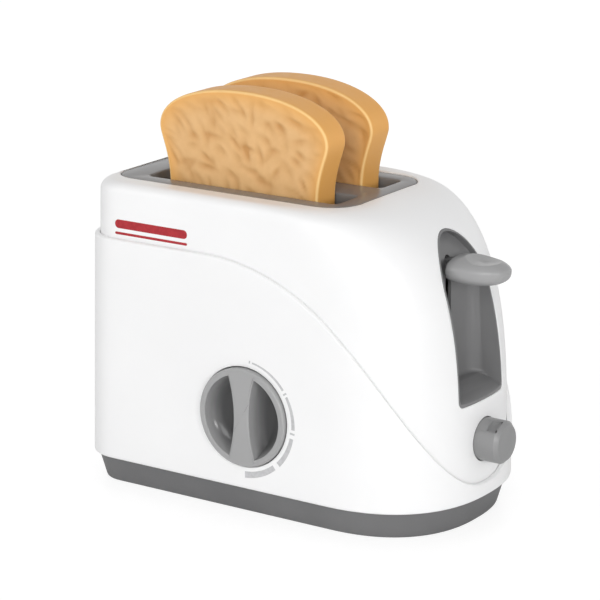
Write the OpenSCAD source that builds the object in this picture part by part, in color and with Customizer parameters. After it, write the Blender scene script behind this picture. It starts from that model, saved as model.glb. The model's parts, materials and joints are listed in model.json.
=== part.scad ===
// Toy pop-up toaster with two play slices of bread.
// X runs from the rear to the rounded nose, Y across the two slots, Z up from the table.
// The origin is on the underside, in the middle of the body.

/* [Housing] */
// From the rear face to the slots
tail_room = 23.2; // [23:0.2:28]
// From the slots to the tip of the nose
front_room = 63.2; // [63:0.2:68]
// From the grey plate to the lower edge of the skirt, seen from above
shoulder_w = 17.2; // [16.8:0.2:20]
// Height of the crown above the table
top_z = 142; // [141:0.5:146]
// Height of the skirt's lower edge
skirt_z = 12.8; // [12:0.2:15]
// Draft of the moulded walls in degrees
draft_deg = 1; // [0.5:0.1:1.5]
// Wall of the white mouldings
wall = 2.2; // [1.8:0.1:2.4]
// How far the skirt stands proud of the upper shell
skirt_step = 2.5; // [2.4:0.1:3.2]
// Radius of the rear corners seen from above
rear_r = 19; // [14:1:24]
// Radius of the crown's side and rear edges
crown_r = 5; // [4:0.5:6]
// Length of the rounded nose at table level
nose_l = 53.8; // [52:0.2:56]
// How much shorter the rounding gets on its way up to the crown
nose_fade = 5.2; // [3:0.2:8]
// Squareness of the nose seen from above
nose_pow = 2.4; // [2.2:0.1:2.6]
// How much squarer the nose gets on its way up to the crown
nose_square = 0.43; // [0.2:0.01:0.6]
// From the tip of the nose back to where the front begins to fall
brow_l = 59; // [57:1:62]
// Squareness of the front seen from the side
brow_pow = 2.7; // [2.4:0.1:3]
// Height below which the nose stands upright
nose_z = 21; // [18:1:26]

/* [Wave line of the skirt] */
// Depth of the skirt's edge below the crown along the rear and sides
wave_drop = 25.2; // [20:0.2:32]
// From the tip of the nose back to where the edge starts to fall
wave_l = 118.2; // [110:0.2:128]
// Pull of the curve at its upper end
wave_pull_top = 60.6; // [50:0.2:64]
// Pull of the curve back from the nose at its lower end
wave_pull_x = 19.5; // [16:0.5:24]
// Pull of the curve above its lower end
wave_pull_z = 49.6; // [40:0.2:56]
// Height of the skirt's low band at the nose
band_z = 18.9; // [17.5:0.1:21]
// How far the upper shell laps down behind the skirt
lap = 8; // [5:0.5:10]

/* [Base] */
// Set-in of the base at the table
foot_inset = 5.6; // [4.5:0.1:7]
// Set-in of the base under the skirt
rim_inset = 2.2; // [1.6:0.1:3]
// Floor of the base
base_floor = 2.5; // [2:0.1:3.2]
// Wall of the base
base_wall = 2.4; // [2:0.1:3]

/* [Slot plate and slots] */
// From the rear face to the grey plate
plate_rear = 8.2; // [7.6:0.2:10]
// How far the grey plate goes on past the slots
plate_front = 9; // [8:0.5:10]
// Width of the grey plate
plate_w = 74; // [72:0.5:75]
// Depth of the plate below the crown
plate_drop = 2; // [1:0.2:3]
// Corner radius of the plate
plate_r = 14; // [10:1:18]
// Length of a bread slot
slot_l = 102; // [100:0.5:104]
// Width of a bread slot
slot_w = 18.5; // [18:0.1:19]
// Distance of each slot's middle from the middle plane
slot_y = 18.2; // [17.9:0.1:18.6]

/* [Bread] */
// Widest part of a slice
slice_w = 90.6; // [84:0.2:93]
// Width of a slice at its foot
slice_foot = 78; // [72:1:82]
// Width of a slice where it starts to swell
slice_neck = 80; // [74:1:84]
// Height above the foot at which a slice starts to swell
slice_neck_h = 44; // [40:1:48]
// Height of a slice
slice_h = 89.5; // [84:0.5:92]
// Thickness of a slice
slice_t = 15; // [13:0.2:16]
// Height of the domed part of a slice
slice_dome = 20; // [16:0.5:24]
// Rounding of a slice's edges
slice_r = 1.2; // [0.8:0.1:2]

/* [Lever and carriage] */
// Depth of the slices' feet below the crown with the lever up
rack_drop = 46; // [44:0.5:47]
// Depth of the lever's handle below the crown with the lever up
paddle_drop = 26.9; // [26:0.1:28]
// Height of the lowered handle above the lower edge of its opening
paddle_low = 15.1; // [14.5:0.1:16.5]
// How far the handle stands out past the nose
paddle_out = 7.6; // [6:0.2:10]
// Length of the handle
paddle_l = 31.4; // [29:0.2:34]
// Width of the handle in its middle
paddle_w = 22.6; // [21:0.2:24]
// Height of the handle above its widest line
paddle_up = 5.5; // [5:0.1:6]
// Depth of the handle below its widest line
paddle_down = 6.8; // [6.4:0.1:7.6]
// How much the handle narrows towards its tip
paddle_taper = 0.2; // [0.1:0.02:0.3]
// Diameter of the guide rods
rod_d = 4; // [3.6:0.1:4.4]
// Diameter of the lift spring
lift_d = 9.6; // [8.8:0.1:10]

/* [Lever channel] */
// Width of the opening at its lower edge
channel_w = 38; // [36:0.5:40]
// Width of the opening where its arch springs
channel_top_w = 36.6; // [34:0.2:38]
// Lower edge of the opening
channel_z0 = 56; // [54:0.5:58]
// Depth of the top of the arch below the crown
channel_drop = 12; // [11:0.5:14]
// Height of the arch
arch_h = 26; // [20:1:32]
// From the tip of the nose back to the channel's back wall
channel_depth = 21.7; // [21:0.1:22.6]
// Lip of the channel that shows round the opening
lip = 1; // [0.8:0.1:1.4]
// Wall of the grey mouldings
thin = 1.6; // [1.2:0.1:2]

/* [Eject button] */
// Diameter of the button
button_d = 19.4; // [17:0.2:20]
// Height of the button's axis
button_z = 38; // [37:0.5:39]
// How far the button stands out past the nose
button_out = 8.6; // [6:0.2:9.6]
// Travel of the button
button_travel = 3.5; // [3:0.1:3.5]

/* [Dial] */
// Diameter of the dial
dial_d = 45.4; // [42:0.2:48]
// Height of the dial's axis
dial_z = 46; // [45:0.5:48]
// Where the dial stands along the body
dial_x = -0.7; // [-4:0.1:4]
// How far the dial stands proud of the widest part of the skirt
dial_proud = 1.4; // [0.8:0.1:2]
// Thickness of the dial
dial_t = 9; // [8:0.5:9.5]
// Width of the dial's rim
dial_rim = 3; // [2.4:0.1:3.6]
// Depth of the finger scoops
scoop_t = 6; // [5:0.2:6.5]
// Width of the grip bar at its waist
grip_waist = 8; // [7:0.2:10]
// Width of the grip bar at its ends
grip_end = 15; // [13:0.5:17]
// Number of clicks in a turn
clicks = 12; // [8:1:16]

/* [Fits] */
// Radial clearance of pins, rods and shafts
fit = 0.05; // [0.02:0.01:0.1]
// Gap beside sliding and turning pieces
gap = 0.4; // [0.3:0.05:0.5]

/* [Fasteners] */
// Shank diameter of the housing screws
screw_d = 3; // [2.6:0.1:3.2]
// Head diameter of the housing screws
head_d = 5.6; // [5:0.1:6]
// Shank diameter of the small screws
small_d = 2; // [1.8:0.1:2.2]
// Head diameter of the small screws
small_head_d = 3.8; // [3.4:0.1:4]

/* [Hidden] */
$fn = 48;

white = [0.95, 0.95, 0.95];
grey = [0.62, 0.62, 0.63];
dark_grey = [0.42, 0.42, 0.42];
black = [0.1, 0.1, 0.1];
steel = [0.72, 0.73, 0.75];
crust = [0.88, 0.66, 0.36];

sl = 0.01;                      // overlap that joins two shapes of one piece
reach = 400;                    // longer than the whole body
body_l = tail_room + slot_l + front_room;
body_w = plate_w + 2 * shoulder_w;
rear_x = -body_l / 2;
nose_x = body_l / 2;
half_w = body_w / 2;
slot_x = rear_x + tail_room + slot_l / 2;
slot_end = slot_x + slot_l / 2;
brow_x = nose_x - brow_l;
wave_x = nose_x - wave_l;
wave_z = top_z - wave_drop;
plate_z = top_z - plate_drop;
plate_x0 = rear_x + plate_rear;
plate_x1 = slot_end + plate_front;
rack_z = top_z - rack_drop;
paddle_z = top_z - paddle_drop;
paddle_tip = nose_x + paddle_out;
travel = paddle_z - paddle_low - channel_z0;
channel_back = nose_x - channel_depth;
channel_z1 = top_z - channel_drop;
button_x = nose_x + button_out;
fade_pow = 1.6;                 // how quickly the nose gets shorter with height

// ---- curves and lofts ----------------------------------------------------------------

function lean(z) = max(z - skirt_z, 0) * tan(draft_deg);

// Set-in of an edge of radius r that is rounded off towards height zt.
function edge_in(z, zt, r) =
    let (h = z - (zt - r))
    h <= 0 ? 0 : r - sqrt(max(r * r - h * h, 0));

// Outline seen from above: straight sides, round rear corners and a superellipse nose.
function plan(rear, tip, half, nose, corner, power) =
    let (n = 6, m = 16)
    concat(
        [for (k = [0:n])
            let (a = 90 + k * 90 / n)
            [rear + corner + corner * cos(a), half - corner + corner * sin(a)]],
        [for (k = [0:n])
            let (a = 180 + k * 90 / n)
            [rear + corner + corner * cos(a), -half + corner + corner * sin(a)]],
        [for (k = [-m:m])
            let (a = k * 90 / m)
            [tip - nose + nose * pow(cos(a), 2 / power),
             half * sign(a) * pow(abs(sin(a)), 2 / power)]]
    );

function at(points, z) = [for (p = points) [p[0], p[1], z]];

// Skirt and base: plain drafted walls, moved in by an inset.
function skirt_plan(z, inset) =
    let (d = lean(z) + inset)
    plan(rear_x + d, nose_x - d, half_w - d, nose_l - d, rear_r - inset, nose_pow);

// Upper shell: the front falls in a superellipse and the crown's edges are rounded.
function shell_plan(z, inset) =
    let (
        zt = top_z - inset,
        u = min(max((z - nose_z) / (zt - nose_z), 0), 1),
        d = lean(z) + skirt_step + inset,
        e = edge_in(z, zt, crown_r - min(inset, crown_r - 1)),
        tip = brow_x + (nose_x - skirt_step - inset - brow_x) * pow(1 - pow(u, brow_pow), 1 / brow_pow),
        nose = nose_l - skirt_step - inset - nose_fade * pow(u, fade_pow)
    )
    plan(rear_x + d + e, tip, half_w - d - e, nose, rear_r - skirt_step - inset - e / 2,
        nose_pow + nose_square * u);

// Heights of the shell's rings, closer together towards the crown.
function shell_levels(zlow, inset) =
    let (r = crown_r - min(inset, crown_r - 1), zt = top_z - inset, n = 9, m = 5)
    concat(
        [zlow],
        [for (k = [0:n]) nose_z + (zt - r - nose_z) * sin(k * 90 / n)],
        [for (k = [1:m]) zt - r + r * sin(k * 90 / m)]
    );

// Solid through a stack of rings that run anticlockwise seen from the last ring.
module loft(rings) {
    n = len(rings[0]);
    k = len(rings);
    polyhedron(
        points = [for (r = rings) each r],
        faces = concat(
            [[for (i = [0:n - 1]) i]],
            [for (j = [0:k - 2], i = [0:n - 1]) [j * n + i, (j + 1) * n + i, (j + 1) * n + (i + 1) % n]],
            [for (j = [0:k - 2], i = [0:n - 1]) [j * n + i, (j + 1) * n + (i + 1) % n, j * n + (i + 1) % n]],
            [[for (i = [n - 1:-1:0]) (k - 1) * n + i]]
        ),
        convexity = 4
    );
}

module shell_solid(zlow, inset) {
    loft([for (z = shell_levels(zlow, inset)) at(shell_plan(z, inset), z)]);
}

module skirt_solid(z0, z1, inset) {
    loft([for (z = [z0, z1]) at(skirt_plan(z, inset), z)]);
}

// Extrudes an outline drawn in X and Z across the body.
module across(width) {
    rotate([90, 0, 0]) linear_extrude(width, center = true) children();
}

// Extrudes an outline drawn in Y and Z forwards from x = 0.
module along(length) {
    rotate([90, 0, 90]) linear_extrude(length) children();
}

// Rectangle with round corners: r0 on its first side, r1 on its second.
module rounded(x0, x1, y0, y1, r0, r1) {
    function arc(cx, cy, r, a) = [for (k = [0:6]) [cx + r * cos(a + k * 15), cy + r * sin(a + k * 15)]];
    polygon(concat(
        arc(x1 - r1, y1 - r1, r1, 0), arc(x0 + r0, y1 - r0, r0, 90),
        arc(x0 + r0, y0 + r0, r0, 180), arc(x1 - r1, y0 + r1, r1, 270)
    ));
}

// Cylinders along X and Y that start at the given end.
module rod_x(x0, x1, d) {
    translate([x0, 0, 0]) rotate([0, 90, 0]) cylinder(h = x1 - x0, d = d);
}

module rod_y(y0, y1, d) {
    translate([0, y1, 0]) rotate([90, 0, 0]) cylinder(h = y1 - y0, d = d);
}

// Screw that points up from the origin, with a crossed recess in its head.
module screw(shank, head, length, head_h) {
    difference() {
        union() {
            translate([0, 0, -head_h]) cylinder(h = head_h, d = head);
            translate([0, 0, -sl]) cylinder(h = length, d = shank);
            translate([0, 0, length - sl]) cylinder(h = shank / 2, d1 = shank, d2 = shank / 4);
        }
        for (a = [0, 90]) rotate([0, 0, a])
            translate([-head * 0.3, -head * 0.07, -head_h - sl]) cube([head * 0.6, head * 0.14, head_h / 2]);
    }
}

// Unbroken wire coil along Z with close but open end turns.
module coil(d, wire, length, turns) {
    steps = 10;
    sides = 6;
    total = turns * steps;
    r = (d - wire) / 2;
    rise = length - wire;
    function height(t) =
        let (lie = (wire + coil_gap) / rise)
        t < 1 ? t * lie : t > turns - 1 ? 1 - (turns - t) * lie
            : lie + (t - 1) / (turns - 2) * (1 - 2 * lie);
    // The rings run clockwise seen from above, so the coil is left-handed.
    loft([for (i = [0:total])
        let (t = i / steps, a = -t * 360, z = wire / 2 + rise * height(t))
        [for (s = [0:sides - 1])
            let (b = -s * 360 / sides, q = r + wire / 2 * cos(b))
            [q * cos(a), q * sin(a), z - wire / 2 * sin(b)]]]);
}

// ---- shared places ---------------------------------------------------------------------

post_z = 10;                                       // top of the base's screw towers
post_y = half_w - skirt_step - wall - 7.5;          // row of the upper shell's screw posts
posts = [for (x = [rear_x + 28, nose_x - 42], s = [1, -1]) [x, s * post_y]];
post_d = 8;
post_h = top_z - 30;                               // length of the upper shell's screw posts
base_head_z = 4;                                   // seat of the base screws' heads

flange_z = plate_z - 6;                            // underside of the plate and its flange
flange_t = 2.5;
chute_flange_z = flange_z - flange_t;
top_screw_y = plate_w / 2 + 4;
top_posts = [for (x = [slot_x - 36, slot_x + 36], s = [-1, 1]) [x, s * top_screw_y]];
boss_d = 6;

rods_x = [slot_end - slot_l - 8.2, slot_end + 7.6];
rod_foot = base_floor + 2.5;                       // lower end of the rods
rod_tower = 14;                                    // top of the sockets in the base
rod_head = flange_z - 1;                           // upper end of the rods
rod_boss_d = rod_d + 6;

arm_x = [slot_x - 25, slot_x + 25];                // arms of the rack through the chute
arm_w = 8;
chute_z0 = rack_z - travel - 8;                    // lower end of the chute
spine_z = rack_z - 8;                              // underside of the carriage's spine
boss_z = rack_z - 12;                              // underside of the carriage's sliders
boss_h = 24;
stem_t = 4;                                        // thickness of the lever's stem
stem_z0 = paddle_z - 5;
stem_z1 = paddle_z + 2;
slider_x1 = rods_x[1] + 7.5;                       // front face of the front slider

pivot_x = slider_x1 + 11;                          // pin of the latch
pivot_z = button_z - 7;
pin_d = 3;
nose_under = pivot_z - 8;                          // underside of the latch's nose
nose_tip = slider_x1 + 1.4;
hook_t = 3;                                        // reach of the leaf's hook
lever_t = 6;                                       // width of the latch lever
ear_t = 2.4;
ear_gap = 3.6;                                     // room for the latch's spring beside the lever
ear_y = lever_t / 2 + ear_gap;
guide_x = pivot_x + 13;                            // guide plate of the button's stem
guide_t = 3;
bracket_z = base_floor + 3;                        // the latch bracket stands on pads
bracket_t = 2.4;
bracket_y = 12;                                    // row of the bracket's screws
bracket_x = pivot_x + 6;

flange_x = nose_x - 8.2;                           // inner end of the button's cap
button_stem_d = 6;
tip_x = pivot_x + 2.8;                             // tip of the button's stem at rest

dial_face = -(half_w + dial_proud);
dial_back = dial_face + dial_t;
cup_floor = dial_back + gap;
cup_t = 2.4;
shaft_d = 8;
bearing_y = cup_floor + 6.5;                       // inner end of the dial's bearing
wheel_y = bearing_y + gap;
wheel_t = 4;
wheel_d = 17;
shaft_tail = wheel_y + wheel_t;

coil_gap = 0.45;                                   // gap between the end turns of the springs

// ---- housing ---------------------------------------------------------------------------

// Area below the skirt's upper edge, in X and Z, lowered by a drop.
module below_wave(drop) {
    tail = [nose_x, band_z];
    function wave(t) =
        pow(1 - t, 3) * [wave_x, wave_z]
        + 3 * pow(1 - t, 2) * t * [wave_x + wave_pull_top, wave_z]
        + 3 * (1 - t) * t * t * [nose_x - wave_pull_x, band_z + wave_pull_z]
        + pow(t, 3) * tail;
    polygon(concat(
        [[nose_x + 20, -reach], [rear_x - 20, -reach], [rear_x - 20, wave_z - drop]],
        [for (k = [0:28]) let (p = wave(k / 28)) [p[0], max(p[1] - drop, skirt_z + 1.5)]],
        [[nose_x + 20, max(band_z - drop, skirt_z + 1.5)]]
    ));
}

module base_tray() {
    color(dark_grey) difference() {
        union() {
            difference() {
                loft([
                    at(skirt_plan(skirt_z, foot_inset), 0),
                    at(skirt_plan(skirt_z, rim_inset), skirt_z)
                ]);
                loft([
                    at(skirt_plan(skirt_z, foot_inset + base_wall), base_floor),
                    at(skirt_plan(skirt_z, rim_inset + base_wall), skirt_z + sl)
                ]);
            }
            for (p = posts) translate([p[0], p[1], sl]) cylinder(h = post_z - sl, d = head_d + 5);
            for (x = rods_x) translate([x, 0, sl]) cylinder(h = rod_tower - sl, d = rod_boss_d);
            for (s = [-1, 1]) translate([bracket_x, s * bracket_y, sl])
                cylinder(h = bracket_z - sl, d = small_head_d + 3);
            // ribs that stiffen the floor
            for (x = [-30, 0, 30]) translate([slot_x + x, 1 - plate_w / 2, sl])
                cube([thin, plate_w - 2, base_floor + 1.5]);
            for (s = [-1, 1]) translate([slot_x - slot_l / 2 + 9, s * (slot_y + 2) - thin / 2, sl])
                cube([slot_l - 18, thin, base_floor + 1.5]);
        }
        for (p = posts) translate([p[0], p[1], -1]) {
            cylinder(h = base_head_z + 1, d = head_d + 0.8);
            cylinder(h = post_z + 2, d = screw_d + 0.4);
        }
        for (x = rods_x) translate([x, 0, rod_foot]) cylinder(h = rod_tower, d = rod_d + 2 * fit);
        for (s = [-1, 1]) translate([bracket_x, s * bracket_y, 1])
            cylinder(h = bracket_z, d = small_d + 2 * fit);
    }
}

module base_screws() {
    color(steel) for (p = posts) translate([p[0], p[1], base_head_z])
        screw(screw_d, head_d, 16, 2.2);
}

module skirt_shell() {
    well_d = dial_d + 2 * gap;
    color(white) difference() {
        union() {
            intersection() {
                difference() {
                    shell_solid(skirt_z, -skirt_step);
                    shell_solid(skirt_z - 1, wall - skirt_step);
                }
                across(reach) below_wave(0);
            }
            // ledge that rests on the base's rim
            difference() {
                skirt_solid(skirt_z, skirt_z + 1.4, wall - sl);
                skirt_solid(skirt_z - 1, skirt_z + 2, wall + 3.2);
            }
            // round well and bearing of the dial
            intersection() {
                shell_solid(skirt_z, wall / 2 - skirt_step);
                translate([dial_x, 0, dial_z]) union() {
                    rod_y(dial_face, cup_floor + cup_t, well_d + 2 * thin);
                    rod_y(dial_face, bearing_y, shaft_d + 6);
                }
            }
            // block that carries the click spring
            translate([dial_x - 19, cup_floor + sl, dial_z + 10])
                cube([8, wheel_y + wheel_t - cup_floor + 1, 6]);
        }
        translate([dial_x, 0, dial_z]) {
            rod_y(-half_w - 5, cup_floor, well_d);
            rod_y(-half_w - 5, 0, shaft_d + 2 * fit);
        }
        translate([dial_x - 15, wheel_y + wheel_t / 2, dial_z + 9]) cylinder(h = 5.6, d = small_d + 2 * fit);
    }
}

module upper_shell() {
    inner_low = 5;
    color(white) difference() {
        union() {
            difference() {
                shell_solid(skirt_z + 1, 0);
                shell_solid(inner_low, wall);
                across(reach) below_wave(lap);
                // opening for the grey plate
                translate([0, 0, plate_z - 8]) linear_extrude(20)
                    rounded(plate_x0 - gap / 2, plate_x1 + gap / 2, -plate_w / 2 - gap / 2,
                        plate_w / 2 + gap / 2, plate_r, plate_r + 2);
                // opening for the lever
                along(reach) gate(0);
                // hole for the button
                translate([0, 0, button_z]) rod_x(nose_x - 20, nose_x + 20, button_d + 2 * gap);
            }
            // posts for the base screws, the plate's screws and the channel's screws
            intersection() {
                shell_solid(post_z, wall / 2);
                union() {
                    for (p = posts) translate([p[0], p[1], post_z]) {
                        cylinder(h = post_h, d = post_d);
                        translate([-thin / 2, p[1] > 0 ? 0 : -8, post_h - 40]) cube([thin, 8, 38]);
                    }
                    for (p = top_posts) translate([p[0], p[1], flange_z + flange_t])
                        cylinder(h = 10, d = boss_d);
                    for (p = channel_posts) translate([0, p[0], p[1]])
                        rod_x(channel_ear_x + ear_t, nose_x, boss_d);
                }
            }
        }
        for (p = posts) translate([p[0], p[1], post_z - 1]) cylinder(h = 14, d = screw_d + 2 * fit);
        for (p = top_posts) translate([p[0], p[1], flange_z]) cylinder(h = 5.4, d = small_d + 2 * fit);
        for (p = channel_posts) translate([0, p[0], p[1]])
            rod_x(channel_ear_x, channel_ear_x + 5.8, small_d + 2 * fit);
    }
}

// Opening of the lever channel seen from the front: drafted sides under an arch.
module gate(grow) {
    r = 3;
    half = channel_w / 2 + grow;
    polygon(concat(
        [for (a = [0:10:180])
            [(channel_top_w / 2 + grow) * cos(a), channel_z1 - arch_h + (arch_h + grow) * sin(a)]],
        [for (a = [180:15:270]) [r - half + r * cos(a), channel_z0 - grow + r + r * sin(a)]],
        [for (a = [270:15:360]) [half - r + r * cos(a), channel_z0 - grow + r + r * sin(a)]]
    ));
}

module base_outline(grow) {
    rounded(plate_x0 - min(grow, 0.6), plate_x1 + grow, -plate_w / 2 - grow, plate_w / 2 + grow,
        plate_r, plate_r + 2 + grow / 2);
}

module slots(grow, h) {
    for (s = [-1, 1]) translate([0, s * slot_y, 0]) linear_extrude(h)
        rounded(slot_x - slot_l / 2 - grow, slot_x + slot_l / 2 + grow, -slot_w / 2 - grow,
            slot_w / 2 + grow, 3 + grow, 3 + grow);
}

module slot_plate() {
    color(grey) difference() {
        union() {
            difference() {
                union() {
                    translate([0, 0, flange_z]) linear_extrude(plate_z - flange_z) base_outline(0);
                    translate([0, 0, flange_z]) linear_extrude(flange_t) base_outline(7);
                }
                translate([0, 0, flange_z - 1]) linear_extrude(plate_z - flange_z - 1.4)
                    base_outline(-2);
            }
            translate([0, 0, flange_z]) slots(thin, plate_z - flange_z - 1);
            for (x = rods_x) translate([x, 0, flange_z - 3.5])
                cylinder(h = plate_z - flange_z + 3, d = rod_boss_d - 1);
        }
        translate([0, 0, flange_z - 1]) slots(0, 10);
        for (x = rods_x) translate([x, 0, flange_z - 5])
            cylinder(h = rod_head - flange_z + 5 + gap, d = rod_d + 2 * fit);
        for (p = top_posts) translate([p[0], p[1], flange_z - 1])
            cylinder(h = 5, d = small_d + 0.4);
    }
}

module toast_chute() {
    chute_top = flange_z;
    color(black) difference() {
        union() {
            translate([0, 0, chute_z0]) slots(thin, chute_top - chute_z0);
            translate([0, 0, chute_flange_z]) linear_extrude(flange_t)
                rounded(slot_x - slot_l / 2 - 2.4, slot_x + slot_l / 2 + 2.4, -top_screw_y - 3.4,
                    top_screw_y + 3.4, 6, 6);
        }
        translate([0, 0, chute_z0 - 1]) slots(0, chute_top);
        // the arms of the rack run in these slits
        for (x = arm_x) translate([x - arm_w / 2 - gap, -slot_y, chute_z0 - 1])
            cube([arm_w + 2 * gap, 2 * slot_y, rack_z + 4 - chute_z0]);
        for (p = top_posts) translate([p[0], p[1], chute_flange_z - 1])
            cylinder(h = 5, d = small_d + 0.4);
    }
}

module top_screws() {
    color(steel) for (p = top_posts) translate([p[0], p[1], chute_flange_z])
        screw(small_d, small_head_d, 7, 1.4);
}

// ---- lever channel ------------------------------------------------------------------

channel_floor = channel_z0 + 6;                    // floor of the channel at its back
channel_bend = paddle_z + 2;                       // the back wall leans rearwards above this
channel_ear_x = channel_back + 0.5;
channel_posts = [for (s = [-1, 1], z = [channel_z0 + 14, channel_z1 - 34])
    [s * (channel_w / 2 + 7), z]];

// Plan of the channel's hollow: a curved back with round corners, grown by a margin.
function channel_plan(back, grow) =
    let (h = channel_w / 2 - lip, n = 10, c = 5.5, sag = 3.2)
    concat(
        [[nose_x + 30, -h - grow], [nose_x + 30, h + grow]],
        [for (k = [-n:n])
            let (y = -k / n * h, u = abs(y) - (h - c))
            [back - grow + sag * pow(y / h, 2) + (u > 0 ? c - sqrt(max(c * c - u * u, 0)) : 0),
             y + (grow * -k / n)]]
    );

module channel_hollow(grow) {
    intersection() {
        loft([
            at(channel_plan(channel_back, grow), channel_z0 - grow),
            at(channel_plan(channel_back - 1, grow), channel_bend),
            at(channel_plan(channel_back - 8, grow), channel_z1 + grow)
        ]);
        along(reach) gate(grow - lip);
    }
}

module lever_channel() {
    color(grey) difference() {
        union() {
            intersection() {
                union() {
                    channel_hollow(thin);
                    for (p = channel_posts) translate([channel_ear_x, -channel_w / 2 - 12, p[1] - 4])
                        cube([ear_t, channel_w + 24, 8]);
                }
                shell_solid(skirt_z, wall + 0.1);
            }
            // the lip goes on through the shell and ends flush with its face
            intersection() {
                channel_hollow(lip - 0.1);
                shell_solid(skirt_z, 0.1);
            }
        }
        difference() {
            channel_hollow(0);
            // sloping floor
            across(channel_w + 2) polygon([
                [channel_back - 20, channel_z0 - 5], [channel_back - 20, channel_floor],
                [channel_back + 6, channel_floor], [nose_x, channel_z0], [nose_x, channel_z0 - 5]
            ]);
        }
        // slot for the lever's stem
        translate([channel_back - 20, -stem_t / 2 - gap, stem_z0 - travel - 1.5])
            cube([30, stem_t + 2 * gap, stem_z1 - stem_z0 + travel + 3]);
        for (p = channel_posts) translate([0, p[0], p[1]])
            rod_x(channel_ear_x - 5, channel_ear_x + 5, small_d + 0.4);
    }
}

module channel_screws() {
    color(steel) for (p = channel_posts) translate([channel_ear_x, p[0], p[1]])
        rotate([0, 90, 0]) screw(small_d, small_head_d, 4.6, 1.4);
}

// ---- carriage ----------------------------------------------------------------------------

module guide_rods() {
    color(steel) for (x = rods_x) translate([x, 0, rod_foot])
        cylinder(h = rod_head - rod_foot, d = rod_d);
}

module lift_spring() {
    color(steel) translate([rods_x[1], 0, rod_tower + 0.1])
        coil(lift_d, 0.9, boss_z - rod_tower - 0.2, 11);
}

module carriage_frame() {
    color(dark_grey) difference() {
        union() {
            // spine and its stiffening rib
            translate([rods_x[0], -4.4, spine_z]) cube([rods_x[1] - rods_x[0], 8.8, 3]);
            translate([rods_x[0], -1, spine_z - 4]) cube([rods_x[1] - rods_x[0], 2, 4.5]);
            // sliders on the rods
            translate([rods_x[0], 0, boss_z]) cylinder(h = boss_h - 8, d = rod_boss_d);
            translate([rods_x[1], 0, boss_z]) cylinder(h = boss_h, d = rod_boss_d);
            translate([rods_x[1], -4, boss_z]) cube([slider_x1 - rods_x[1], 8, boss_h]);
            // stem of the lever
            across(stem_t) polygon([
                [slider_x1 - 5, boss_z + boss_h - 6], [slider_x1 + 3, boss_z + boss_h - 6],
                [slider_x1 + 10, stem_z0], [paddle_tip - 17, stem_z0],
                [paddle_tip - 17, stem_z1], [slider_x1 - 5, stem_z1]
            ]);
        }
        translate([rods_x[0], 0, boss_z - 1]) cylinder(h = boss_h + 30, d = rod_d + 2 * fit);
        translate([rods_x[1], 0, boss_z - 1]) cylinder(h = boss_h + 30, d = rod_d + 2 * fit);
        for (x = arm_x) translate([x, 0, spine_z - 5]) cylinder(h = 9, d = small_d + 2 * fit);
        translate([0, 0, boss_z + 15]) rod_x(slider_x1 - 5, slider_x1 + 1, small_d + 2 * fit);
    }
}

// Pressed rack with a turned-up lip on each side, one tray under each slice.
module toast_rack() {
    tray_l = slice_foot - 8;
    tray_w = slice_t - 1;
    sheet = 1.2;
    z0 = rack_z - sheet;
    arm_z = spine_z + 3;
    color(steel) difference() {
        union() {
            for (s = [-1, 1]) translate([slot_x, s * slot_y, 0]) {
                difference() {
                    translate([-tray_l / 2, -tray_w / 2, z0]) cube([tray_l, tray_w, sheet]);
                    for (x = [-14, 0, 14]) translate([x, 0, z0 - 1]) cylinder(h = 4, d = 7);
                }
                for (e = [-1, 1]) translate([e * (tray_l / 2 - sheet / 2) - sheet / 2, -tray_w / 2, z0 - 4])
                    cube([sheet, tray_w, 4 + sheet / 2]);
            }
            for (x = arm_x) {
                translate([x - arm_w / 2, -slot_y, arm_z]) cube([arm_w, 2 * slot_y, sheet]);
                for (s = [-1, 1]) translate([x - arm_w / 2, s * slot_y - sheet / 2, arm_z])
                    cube([arm_w, sheet, z0 - arm_z + sheet / 2]);
            }
        }
        for (x = arm_x) translate([x, 0, arm_z - 1]) cylinder(h = 4, d = small_d + 0.4);
    }
}

module rack_screws() {
    color(steel) for (x = arm_x) translate([x, 0, spine_z + 4.2])
        rotate([180, 0, 0]) screw(small_d, small_head_d, 6, 1.4);
}

// Pebble-shaped handle with a thumb hollow and a pocket for the stem, widest near its rear.
module lever_paddle() {
    cx = paddle_tip - paddle_l / 2;
    rear = channel_back + 3.2;
    stem_end = paddle_tip - 17;
    hollow_r = 24;
    hollow_t = 1.4;
    plan_pow = 2.5;
    side_pow = 2.4;
    function bulge(v, power) = sign(v) * pow(abs(v), 2 / power);
    function pebble(a) =
        let (r = bulge(cos(a), side_pow), h = bulge(sin(a), side_pow))
        [for (j = [0:10:350])
            let (x = r * bulge(cos(j), plan_pow))
            [cx + paddle_l / 2 * x,
             paddle_w / 2 * r * bulge(sin(j), plan_pow) * (1 - paddle_taper * x),
             paddle_z + (h > 0 ? paddle_up : paddle_down) * h]];
    color(grey) difference() {
        intersection() {
            loft([for (a = [-88, -75, -60, -45, -30, -15, 0, 15, 30, 45, 60, 75, 88]) pebble(a)]);
            translate([rear, -paddle_w, paddle_z - paddle_l]) cube([60, 2 * paddle_w, 2 * paddle_l]);
        }
        translate([cx + 4, 0, paddle_z + paddle_up - hollow_t + hollow_r])
            sphere(r = hollow_r, $fn = 64);
        // pocket for the stem
        translate([rear - 1, -stem_t / 2 - 0.1, stem_z0 - 0.1])
            cube([stem_end - rear + 1.2, stem_t + 0.2, stem_z1 - stem_z0 + 0.2]);
    }
}

// Sprung strip with a hook that snaps under the latch.
module catch_leaf() {
    t = 0.5;
    x = slider_x1 + 0.05;
    hook_z = nose_under - 0.3 + travel;
    color(steel) difference() {
        across(5) polygon([
            [x, boss_z + 17.6], [x, hook_z - 5], [x + t, hook_z - 5], [x + hook_t, hook_z - 0.7],
            [x + hook_t, hook_z], [x + t, hook_z], [x + t, boss_z + 17.6]
        ]);
        translate([0, 0, boss_z + 15]) rod_x(x - 1, x + 3, small_d + 0.4);
    }
}

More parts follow.
